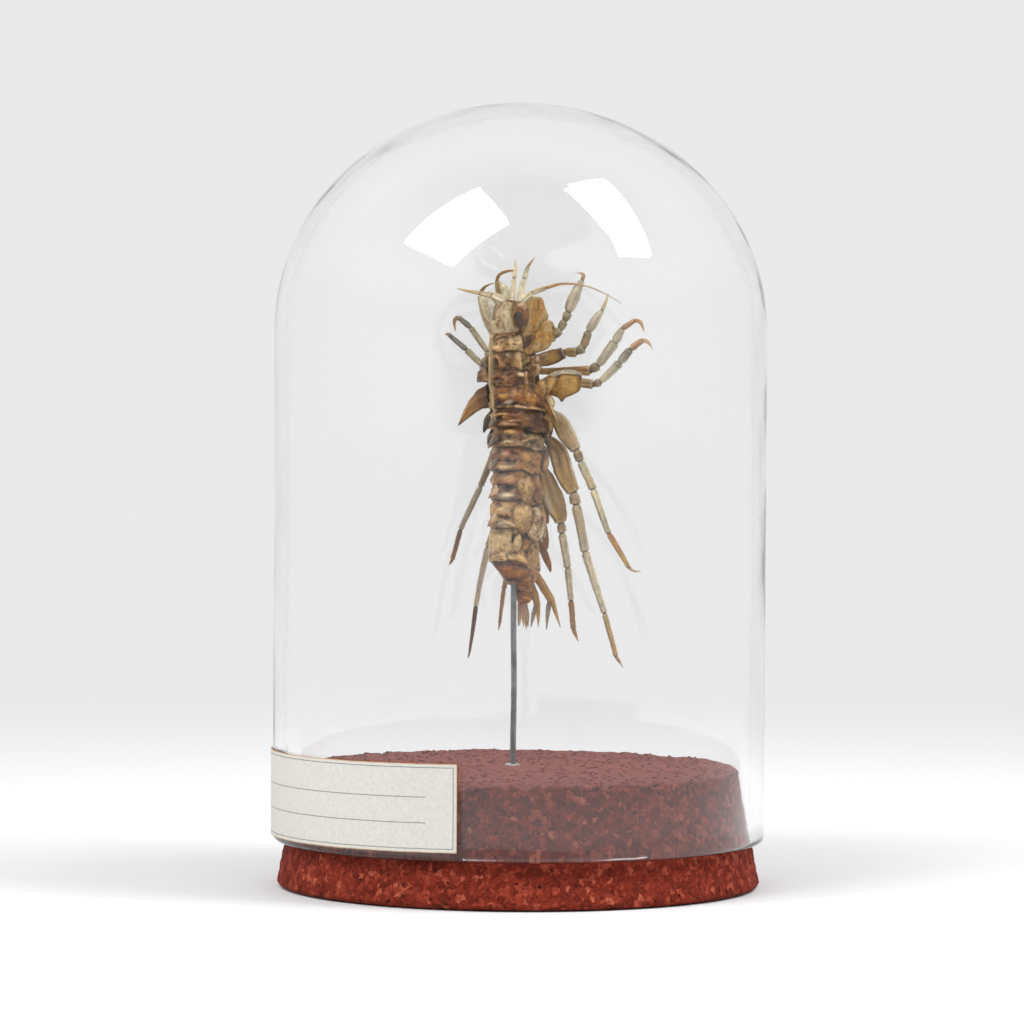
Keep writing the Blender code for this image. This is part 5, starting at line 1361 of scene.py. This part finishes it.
def make_flank_growths():
    """Horns and lobes of both flanks, the raised plates of the right one, and the rope along the keel."""
    shells = []
    for seed, (name, rows) in enumerate(FLANK_GROWTHS.items()):
        shells.append(make_blade(body_row(rows, -1.0), BACK_SIDE, 1.8, 40, seed * 2.0, GROWTH_TINTS[name]))
        if name in RIGHT_GROWTHS:
            flatter = [(z, out * 0.9, back - 0.6, width) for z, out, back, width in rows]
            shells.append(make_blade(body_row(flatter, 1.0), BACK_SIDE, 1.2, 40, seed * 2.0 + 1.0,
                                     "umber brown umber"))
    shells.append(make_plate(*RIGHT_HORN, 4.0))
    shells.extend(plate_shells(BACK_PLATES, 6.0))
    shells.append(make_blade(RIGHT_HORN_EDGE, BACK_SIDE, 0.4, 16, 6.0, "tan cream cream gold", rim=0.0))
    shells.append(make_blade(KEEL_ROPE, BACK_SIDE, 0.5, 16, 9.0, "grey_shell bone grey_shell bone", rim=0.0))
    return build_mesh("flank_horns", shells)


def make_coxal_plates():
    """Plates that cover the roots of the legs."""
    shells = []
    for seed, (name, rows) in enumerate(COXAL_PLATES.items()):
        stops = "tan bone cream" if name in PALE_COXAE else "warm_brown tan brown"
        drawn_in = [(z, out * 0.8, back, width) for z, out, back, width in rows]
        shells.append(make_blade(body_row(drawn_in, -1.0), RIGHT_SIDE, PLATE_THICKNESS, 56, seed * 3.0, stops,
                                 rib=0.0, rim=0.5))
    return build_mesh("coxal_plates", shells + plate_shells(RIGHT_PLATES, 5.0))


def make_spines():
    """Teeth of the keel and the spikes past the tail."""
    shells = []
    for seed, (z, reach, root) in enumerate(KEEL_TEETH):
        back = ring_value(z, 4)
        rows = ((z + root * 0.3, 0.0, back - 1.2, root), (z, 0.0, back - 0.1, root * 0.55),
                (z - root * 0.45, 0.0, back + reach, 0.12))
        stops = "warm_brown dark_grey rust" if seed < 3 else "grey_shell pink_beige brick"
        shells.append(make_blade(body_row(rows, 1.0), RIGHT_SIDE, 0.6, 24, seed * 1.0, stops, rim=0.0))
    for seed, tip in enumerate(TAIL_SPIKES):
        end = np.array(tip)
        root = end + (on_body(TAIL_SPIKE_ROOT_Z, 0.0, 0.0) - end) * 0.9
        root[2] = TAIL_SPIKE_ROOT_Z
        middle = root + (end - root) * 0.4
        rows = ((*root, TAIL_SPIKE_WIDTH), (*middle, TAIL_SPIKE_WIDTH), (*end, 0.12))
        shells.append(make_blade(rows, TO_REAR, 0.6, 24, seed + 20.0, "red_brown pink_beige cream", rim=0.0))
    return build_mesh("keel_teeth_and_tail_spikes", shells)


def ball_points(high_step, wide_step, inset):
    """Rows of points round a unit ball, short of its poles by an inset, and the angles of each point."""
    high, wide = np.meshgrid(np.linspace(inset, math.pi - inset, high_step),
                             np.linspace(0, 2 * math.pi, wide_step, endpoint=False), indexing="ij")
    ball = np.stack((np.sin(high) * np.cos(wide), np.sin(high) * np.sin(wide), np.cos(high)), axis=-1)
    return ball, high, wide


def make_bead(centre, radii, seed, shade):
    """Compound eye: a low bead with a faint grid of facets."""
    ball, high, wide = ball_points(34, 48, 0.06)
    facets = 0.012 * np.sin(high * 26.0) * np.sin(wide * 22.0)
    rings = centre + ball * radii
    rings = rings + ball * facets[..., None] + ball * (0.03 * wobble(ball, 0.7, seed, 2))[..., None]
    paint = blend(plain_tints(ball, shade), tint("umber"), smoothstep((high - 1.2) / 1.2))
    return grid_shell(rings, paint)


def make_eyes():
    """Glossy beads grown together on each side of the head."""
    shells = []
    for side in (1.0, -1.0):
        centre = np.array(EYE_PLACE)
        if side < 0.0:
            centre = mirrored(centre) + np.array((2.2, 1.8, 0.0))
        for number, (shift, radii, shade) in enumerate(EYE_BEADS):
            shells.append(make_bead(centre + np.array(shift), radii, number * 3.0 + side, shade))
    return build_mesh("eyes", shells)


def make_uropod(parts, side):
    """A stalk with two prongs."""
    shells = []
    for number, (rows, stops) in enumerate(zip(parts, UROPOD_TINTS)):
        points = [np.array(row[:3]) for row in rows]
        if side < 0.0:
            points = [mirrored(point) for point in points]
        stations = [(*point, row[3]) for point, row in zip(points, rows)]
        shells.append(make_blade(stations, UROPOD_FACING, 1.1, 24, 3.0 + side + number, stops, rim=0.0))
    return shells


def make_pleopod(sizes, side):
    """Soft paddle under the pleon, with a stalk and a fringe-like ribbed blade."""
    root_z, out, drop = sizes
    rows = []
    for share, width in ((0.0, 1.2), (0.35, PLEOPOD_WIDTH), (0.75, PLEOPOD_WIDTH * 0.8), (1.0, 0.3)):
        backwards = PLEOPOD_ROOT_BACKWARDS - PLEOPOD_REACH * share ** 0.6
        rows.append((*on_body(root_z - drop * share, side * out, backwards), width))
    return [make_blade(rows, BACK_SIDE, 0.5, 32, root_z, "rust amber orange_tan", rib=0.6, rim=0.4)]


def turned(profile, steps, bend=0.0, size=1.0, seed=0.0):
    """Rings of a profile of radius, z pairs turned about the Z axis, uneven by this many mm."""
    profile = np.array(profile)
    turn = turns(steps)
    around = np.stack((np.cos(turn), np.sin(turn), 0 * turn), axis=-1)
    rings = profile[:, None, 0:1] * around + profile[:, None, 1:2] * UP
    if bend:
        slope = unit(np.gradient(profile, axis=0))
        outward = slope[:, None, 1:2] * around * -1.0 + slope[:, None, 0:1] * UP
        rings = rings + outward * (bend * wobble(rings, size, seed, 3))[..., None]
    return rings


def cap_profile(radius, top_z, count):
    turn = np.linspace(0.006, math.pi / 2, count)
    return list(zip(radius * np.sin(turn), DOME_SHOULDER_Z + (top_z - DOME_SHOULDER_Z) * np.cos(turn)))


def make_dome():
    """Blown dome of slightly uneven wall, with a rounded rim."""
    half = DOME_WALL / 2
    walls = np.linspace(DOME_SHOULDER_Z, DOME_RIM_Z + half, 34)[1:-1]
    outer = cap_profile(DOME_RADIUS, DOME_TOP_Z, 64) + [(DOME_RADIUS, z) for z in walls]
    turn = np.linspace(0.0, math.pi, 17)
    middle = DOME_RADIUS - half
    rim = list(zip(middle + half * np.cos(turn), DOME_RIM_Z + half - half * np.sin(turn)))
    inner = cap_profile(DOME_RADIUS - DOME_WALL, DOME_TOP_Z - DOME_WALL, 64)
    inner += [(DOME_RADIUS - DOME_WALL, z) for z in walls]
    outside = turned(outer + rim, 256, 0.03, 22.0, 2.0)
    inside = turned(list(reversed(inner)), 256, 0.05, 17.0, 8.0)
    rings = np.vstack((outside, inside))
    return build_mesh("glass_dome_shell", [grid_shell(rings, plain_tints(rings, "white_shell"))])


def make_cork():
    """Tapered stopper of pressed granules, chipped along its upper edge."""
    slope = (CORK_BOTTOM_RADIUS - CORK_TOP_RADIUS) / CORK_HEIGHT
    bottom = [(radius, 0.0) for radius in np.linspace(0.4, CORK_BOTTOM_RADIUS - CORK_EDGE, 20)]
    worn = [(CORK_BOTTOM_RADIUS - CORK_EDGE * short, z) for short, z in CORK_WEAR]
    side = [(CORK_BOTTOM_RADIUS - slope * z, z) for z in np.linspace(CORK_EDGE, CORK_HEIGHT - 0.5, 62)]
    lip = [(CORK_TOP_RADIUS - 0.1, CORK_HEIGHT - 0.25), (CORK_TOP_RADIUS - 0.3, CORK_HEIGHT - 0.06)]
    top = [(radius, CORK_HEIGHT) for radius in np.linspace(CORK_TOP_RADIUS - 0.7, 0.4, 52)]
    profile = np.array(bottom + worn + side + lip + top)
    rings = turned(profile, CORK_SIDES)
    slopes = unit(np.gradient(profile, axis=0))
    outward = slopes[:, None, 1:2] * unit(rings * (1.0, 1.0, 0.0)) - slopes[:, None, 0:1] * UP
    coarse = wobble(rings, 2.2, 4.0, 3)
    fine = wobble(rings, 0.8, 11.0, 2)
    raised = np.minimum(0.14 * coarse + 0.11 * fine - 0.08, 0.1)
    chips = smoothstep((wobble(rings, 3.0, 21.0, 2) - 0.25) / 0.2)
    near_top = np.exp(-((profile[:, 1] - CORK_HEIGHT) / 0.9) ** 2) * (profile[:, 0] > CORK_TOP_RADIUS - 1.5)
    raised = raised - 0.7 * chips * near_top[:, None]
    above = smoothstep(profile[:, 1] / 0.8)[:, None]
    rings = rings + outward * (raised * above)[..., None]
    return build_mesh("cork_base_shell", [grid_shell(rings, plain_tints(rings, "brick"))])


def make_label():
    """Curved strip of paper with worn edges and a lifted end."""
    columns = np.linspace(0.0, 1.0, 180)
    heights = np.linspace(0.0, 1.0, 15)
    ragged = wobble(np.stack((columns * 60.0, 0 * columns, 0 * columns), axis=-1), 1.6, 1.0, 3) * 0.07
    rings = []
    flat = []
    for share, rag in zip(columns, ragged):
        turn = math.radians(LABEL_START_DEG + (LABEL_END_DEG - LABEL_START_DEG) * share)
        lift = 0.12 * math.exp(-(share / 0.02) ** 2)
        ring = []
        for thick, order in ((LABEL_THICKNESS, heights), (0.0, heights[::-1])):
            for height in order:
                radius = DOME_RADIUS + LABEL_GAP + thick + lift * abs(height - 0.4)
                z = LABEL_BOTTOM_Z + LABEL_HEIGHT * height - LABEL_DROP * share + rag * (height - 0.5)
                ring.append((-radius * math.sin(turn), -radius * math.cos(turn), z))
                flat.append(((share - 0.5) * LABEL_LENGTH, (height - 0.5) * LABEL_HEIGHT))
        rings.append(ring)
    rings = np.array(rings)
    mesh = build_mesh("paper_label_shell", [grid_shell(rings, plain_tints(rings, "cream"))])
    flat = np.array(flat + [flat[0], flat[-1]])
    corners = np.zeros(len(mesh.loops), dtype=int)
    mesh.loops.foreach_get("vertex_index", corners)
    mesh.uv_layers.new(name="UVMap").data.foreach_set("uv", flat[corners].ravel())
    mesh.set_sharp_from_angle(angle=math.radians(40))
    return mesh


def make_pin():
    """Steel wire, very slightly bent and worn."""
    z = np.linspace(PIN_BOTTOM_Z, PIN_TOP_Z, 160)
    bow = 0.05 * np.sin((z - PIN_BOTTOM_Z) / (PIN_TOP_Z - PIN_BOTTOM_Z) * math.pi)
    points = np.stack((PIN_X + bow, PIN_Y + 0 * z, z), axis=-1)
    widths = np.full(len(z), PIN_RADIUS * 2) * (1.0 + 0.01 * np.sin(z * 2.3))
    rings = tube_rings(points, widths, widths, -TO_REAR, 40)
    return build_mesh("mounting_pin_shell", [grid_shell(rings, plain_tints(rings, "slate"))])


def make_glue():
    """Broken ring of dried glue round the foot of the pin."""
    turn = np.linspace(0.0, 2.0 * math.pi * 0.86, 80)
    reach = 0.85 + 0.15 * np.sin(turn * 3.0)
    height = 0 * turn + CORK_HEIGHT + 0.1
    points = np.stack((PIN_X + reach * np.cos(turn), PIN_Y + reach * np.sin(turn), height), axis=-1)
    widths = 0.62 * (0.35 + 0.65 * np.sin(np.linspace(0.12, math.pi - 0.12, 80)) ** 0.5)
    rings = tube_rings(points, widths, widths * 0.8, UP, 18)
    rings = rings + (rings - points[:, None]) * (0.35 * wobble(rings, 0.5, 6.0, 3))[..., None]
    return build_mesh("dried_glue_ring", [grid_shell(rings, plain_tints(rings, "white_shell"))])


def scatter(name, host_mesh, grain_mesh, material, per_mm2, smallest, largest, tilt):
    """Small grains or bristles strewn over a mesh where its weight attribute allows, as one plain mesh."""
    host = bpy.data.objects.new(f"{name}_host", host_mesh)
    grain = bpy.data.objects.new(f"{name}_grain", grain_mesh)
    for item in (host, grain):
        bpy.context.scene.collection.objects.link(item)
    group = bpy.data.node_groups.new(name, "GeometryNodeTree")
    faces = group.interface
    faces.new_socket("Host", in_out="INPUT", socket_type="NodeSocketGeometry")
    values = {"Density": per_mm2 / MM ** 2, "Smallest": smallest, "Largest": largest, "Tilt": tilt,
              "Seed": SEED}
    for key in values:
        kind = "NodeSocketInt" if key == "Seed" else "NodeSocketFloat"
        faces.new_socket(key, in_out="INPUT", socket_type=kind)
    faces.new_socket("Strewn", in_out="OUTPUT", socket_type="NodeSocketGeometry")
    given = add(group, "NodeGroupInput").outputs
    weight = add(group, "GeometryNodeInputNamedAttribute", {"Name": "weight"}, 0, data_type="FLOAT")
    density = add(group, MATH, {0: weight, 1: given["Density"]}, 0, operation="MULTIPLY")
    spread = add(group, "GeometryNodeDistributePointsOnFaces",
                 {"Mesh": given["Host"], "Density": density, "Seed": given["Seed"]})
    size = add(group, RANDOM, {2: given["Smallest"], 3: given["Largest"], "Seed": given["Seed"]}, 1,
               data_type="FLOAT")
    least = add(group, MATH, {0: given["Tilt"], 1: -1.0}, 0, operation="MULTIPLY")
    low = add(group, "ShaderNodeCombineXYZ", {0: least, 1: least, 2: -math.pi}, 0)
    high = add(group, "ShaderNodeCombineXYZ", {0: given["Tilt"], 1: given["Tilt"], 2: math.pi}, 0)
    lean = add(group, RANDOM, {0: low, 1: high, "Seed": given["Seed"]}, 0, data_type="FLOAT_VECTOR")
    lean = add(group, "FunctionNodeEulerToRotation", {0: lean}, 0)
    turned_by = add(group, "FunctionNodeRotateRotation", {0: spread.outputs["Rotation"], 1: lean}, 0,
                    rotation_space="LOCAL")
    shape = add(group, "GeometryNodeObjectInfo", {"Object": grain}, "Geometry")
    strewn = add(group, "GeometryNodeInstanceOnPoints",
                 {"Points": spread.outputs["Points"], "Instance": shape, "Rotation": turned_by,
                  "Scale": size}, "Instances")
    real = add(group, "GeometryNodeRealizeInstances", {"Geometry": strewn}, "Geometry")
    painted = add(group, "GeometryNodeSetMaterial", {"Geometry": real, "Material": material}, "Geometry")
    add(group, "NodeGroupOutput", {"Strewn": painted})
    modifier = host.modifiers.new(name, "NODES")
    modifier.node_group = group
    for item in faces.items_tree:
        if item.in_out == "INPUT" and item.name in values:
            modifier[item.identifier] = values[item.name]
    graph = bpy.context.evaluated_depsgraph_get()
    result = bpy.data.meshes.new_from_object(host.evaluated_get(graph), depsgraph=graph)
    result.name = name
    for item in (host, grain):
        bpy.data.objects.remove(item, do_unlink=True)
    bpy.data.node_groups.remove(group)
    result.materials.clear()
    result.shade_smooth()
    return result


def give_weight(mesh, values):
    layer = mesh.attributes.new("weight", "FLOAT", "POINT")
    layer.data.foreach_set("value", np.asarray(values, dtype=np.float32))


def bristle_grain():
    """One hair, a unit long."""
    run = np.linspace(0.0, 1.0, 5)
    points = np.stack((0.12 * run ** 2, 0 * run, run), axis=-1)
    rings = tube_rings(points, 0.07 * (1.02 - run), 0.07 * (1.02 - run), TO_REAR, 4)
    return build_mesh("hair", [grid_shell(rings, plain_tints(rings, "warm_brown"))])


def crumb_grain():
    """One loose granule, a unit wide."""
    ball = ball_points(6, 9, 0.2)[0] * 0.5
    rings = ball * (1.0 + 0.5 * wobble(ball, 0.5, 3.0, 2))[..., None] * (1.0, 0.8, 0.6)
    return build_mesh("crumb", [grid_shell(rings, plain_tints(rings, "brick"))])


def make_crumbs(cork, material):
    """Loose granules on the upper face of the cork, away from the pin."""
    strewn = cork.copy()
    spots = np.array([vertex.co for vertex in strewn.vertices]) / MM
    reach = np.hypot(spots[:, 0], spots[:, 1])
    give_weight(strewn, ((spots[:, 2] > CORK_HEIGHT - 1.2) & (reach > 5.0)) * 1.0)
    return scatter("cork_crumbs", strewn, crumb_grain(), material, per_mm2=0.3, smallest=0.25, largest=0.85,
                   tilt=0.5)


def place_limb(node, shells, material):
    """A limb's shells as one piece that stands in for its node."""
    place_piece(f"{node}_shell", build_mesh(f"{node}_shell", shells), material, [node])


def limb_facing(name):
    """The way that the broad side of a limb looks."""
    if name.startswith("antenna"):
        return ANTENNA_FACING
    return -RIGHT_SIDE if name.endswith("left") else LEG_FACING


def make_pieces(finish):
    """Everything that stands for the CAD nodes."""
    place_piece("glass_dome_shell", make_dome(), finish["glass"], ["glass_dome"])
    cork = make_cork()
    place_piece("cork_base_shell", cork, finish["cork"], ["cork_base"])
    place_piece("cork_crumbs", make_crumbs(cork, finish["cork"]), finish["cork"], ["cork_base"])
    place_piece("paper_label_shell", make_label(), finish["paper"], ["paper_label"])
    place_piece("mounting_pin_shell", make_pin(), finish["steel"], ["mounting_pin"])
    place_piece("dried_glue_ring", make_glue(), finish["glue"], ["mounting_pin"])
    place_piece("trunk_shell", make_trunk(), finish["shell"], ["trunk"])
    place_piece("flank_horns", make_flank_growths(), finish["shell"], ["trunk"])
    place_piece("coxal_plates", make_coxal_plates(), finish["plate"], ["trunk"])
    place_piece("keel_teeth_and_tail_spikes", make_spines(), finish["plate"], ["trunk"])
    place_piece("eyes", make_eyes(), finish["eye"], ["trunk"])
    hairy = []
    for number, (name, rows) in enumerate(LIMBS.items()):
        tube = make_limb(name, rows, limb_facing(name), number * 7.0)
        hairy.append(tube)
        plates = [make_plate(*row, number * 3.0) for key, row in LIMB_PLATES.items() if key.startswith(name)]
        place_limb(name, [tube, *plates], finish["leg"])
    for table, make in ((UROPODS, make_uropod), (PLEOPODS, make_pleopod)):
        for name, sizes in table.items():
            for side, tag in ((1.0, "right"), (-1.0, "left")):
                place_limb(f"{name}_{tag}", make(sizes, side), finish["leg"])
    coat = build_mesh("hairy", hairy)
    give_weight(coat, np.ones(len(coat.vertices)))
    hairs = scatter("leg_bristles", coat, bristle_grain(), finish["leg"], per_mm2=0.9, smallest=0.25,
                    largest=0.6, tilt=0.7)
    place_piece("leg_bristles", hairs, finish["leg"], list(LIMBS))


def make_room(scene):
    """Light of the pale room: a little brighter towards the front and above, and darker behind the camera."""
    world = bpy.data.worlds.new("pale_room")
    scene.world = world
    world.use_nodes = True
    tree = world.node_tree
    heading = add(tree, "ShaderNodeTexCoord", out="Generated")
    axes = add(tree, "ShaderNodeSeparateXYZ", {"Vector": heading}).outputs
    smooth = {"interpolation_type": "SMOOTHSTEP"}
    sides = add(tree, RANGE, {0: axes["Y"], 1: -0.1, 2: 0.3, 3: SIDE_LIGHT, 4: WORLD_LIGHT}, 0, **smooth)
    shade = add(tree, RANGE, {0: axes["Y"], 1: -0.96, 2: -0.7, 3: CAMERA_SIDE_SHARE, 4: 1.0}, 0, **smooth)
    above = add(tree, RANGE, {0: axes["Z"], 1: 0.5, 2: 0.95, 3: 0.0, 4: OVERHEAD_LIGHT}, 0, **smooth)
    lit = add(tree, MATH, {0: sides, 1: shade}, 0, operation="MULTIPLY")
    level = add(tree, MATH, {0: lit, 1: above}, 0, operation="ADD")
    tree.nodes["Background"].inputs["Strength"].default_value = 1.0
    tree.links.new(level, tree.nodes["Background"].inputs["Color"])


def make_softbox(scene, name, corners):
    """A soft lamp that fills three given corners of a rectangle and looks at the origin."""
    one, two, three = (Vector(corner) * MM for corner in corners)
    light = bpy.data.lights.new(name, "AREA")
    light.shape = "RECTANGLE"
    light.size = (two - one).length
    light.size_y = (three - two).length
    light.energy = SOFTBOX_LIGHT
    lamp = bpy.data.objects.new(name, light)
    scene.collection.objects.link(lamp)
    middle = (one + three) / 2
    side = (two - one).normalized()
    out = side.cross(three - two).normalized()
    if out.dot(middle) < 0.0:
        out = -out
    facing = Matrix((side, out.cross(side), out)).transposed().to_4x4()
    lamp.matrix_world = Matrix.Translation(middle) @ facing


def make_floor(scene):
    """Pale floor that fades into the light of the room."""
    material, tree, shader = new_material("pale_studio_floor", "CFCFD0", 0.9)
    place = add(tree, "ShaderNodeTexCoord", out="Object")
    away = add(tree, "ShaderNodeVectorMath", {0: place}, "Value", operation="LENGTH")
    fade = add(tree, RANGE, {0: away, 1: 0.10, 2: 0.45}, 0, interpolation_type="SMOOTHSTEP")
    glow = add(tree, "ShaderNodeEmission", {0: (1.0, 1.0, 1.005, 1.0), 1: WORLD_LIGHT}, 0)
    both = add(tree, "ShaderNodeMixShader", {0: fade, 1: shader.outputs[0], 2: glow}, 0)
    tree.links.new(both, tree.nodes["Material Output"].inputs["Surface"])
    points = [(math.cos(t) * FLOOR_RADIUS * MM, math.sin(t) * FLOOR_RADIUS * MM, 0.0) for t in turns(96)]
    mesh = bpy.data.meshes.new("studio_floor")
    mesh.from_pydata(points, [], [list(range(len(points)))])
    mesh.materials.append(material)
    floor = bpy.data.objects.new("studio_floor", mesh)
    scene.collection.objects.link(floor)
    floor.location.z = -FLOOR_GAP * MM


def make_camera(scene):
    """Camera where the photograph was taken from."""
    lens = bpy.data.cameras.new("photo_camera")
    lens.lens = CAMERA_LENS
    lens.sensor_width = CAMERA_SENSOR
    lens.clip_start = 0.01
    lens.clip_end = 50.0
    camera = bpy.data.objects.new("photo_camera", lens)
    scene.collection.objects.link(camera)
    pitch = Matrix.Rotation(math.radians(90.0 - CAMERA_DOWN_DEG), 4, "X")
    roll = Matrix.Rotation(math.radians(CAMERA_ROLL_DEG), 4, "Z")
    camera.matrix_world = Matrix.Translation(Vector(CAMERA_PLACE) * MM) @ pitch @ roll
    scene.camera = camera


def make_stage():
    """Room, softboxes, floor and camera, and light paths long enough for two walls of glass."""
    scene = bpy.context.scene
    make_room(scene)
    for name, corners in SOFTBOXES.items():
        make_softbox(scene, name, corners)
    make_floor(scene)
    make_camera(scene)
    scene.view_settings.view_transform = "Standard"
    scene.cycles.use_denoising = True
    scene.cycles.max_bounces = 24
    scene.cycles.transmission_bounces = 16
    scene.cycles.transparent_max_bounces = 16
    scene.cycles.caustics_refractive = True
    scene.cycles.caustics_reflective = True


def main():
    make_pieces(make_materials())
    make_stage()


main()
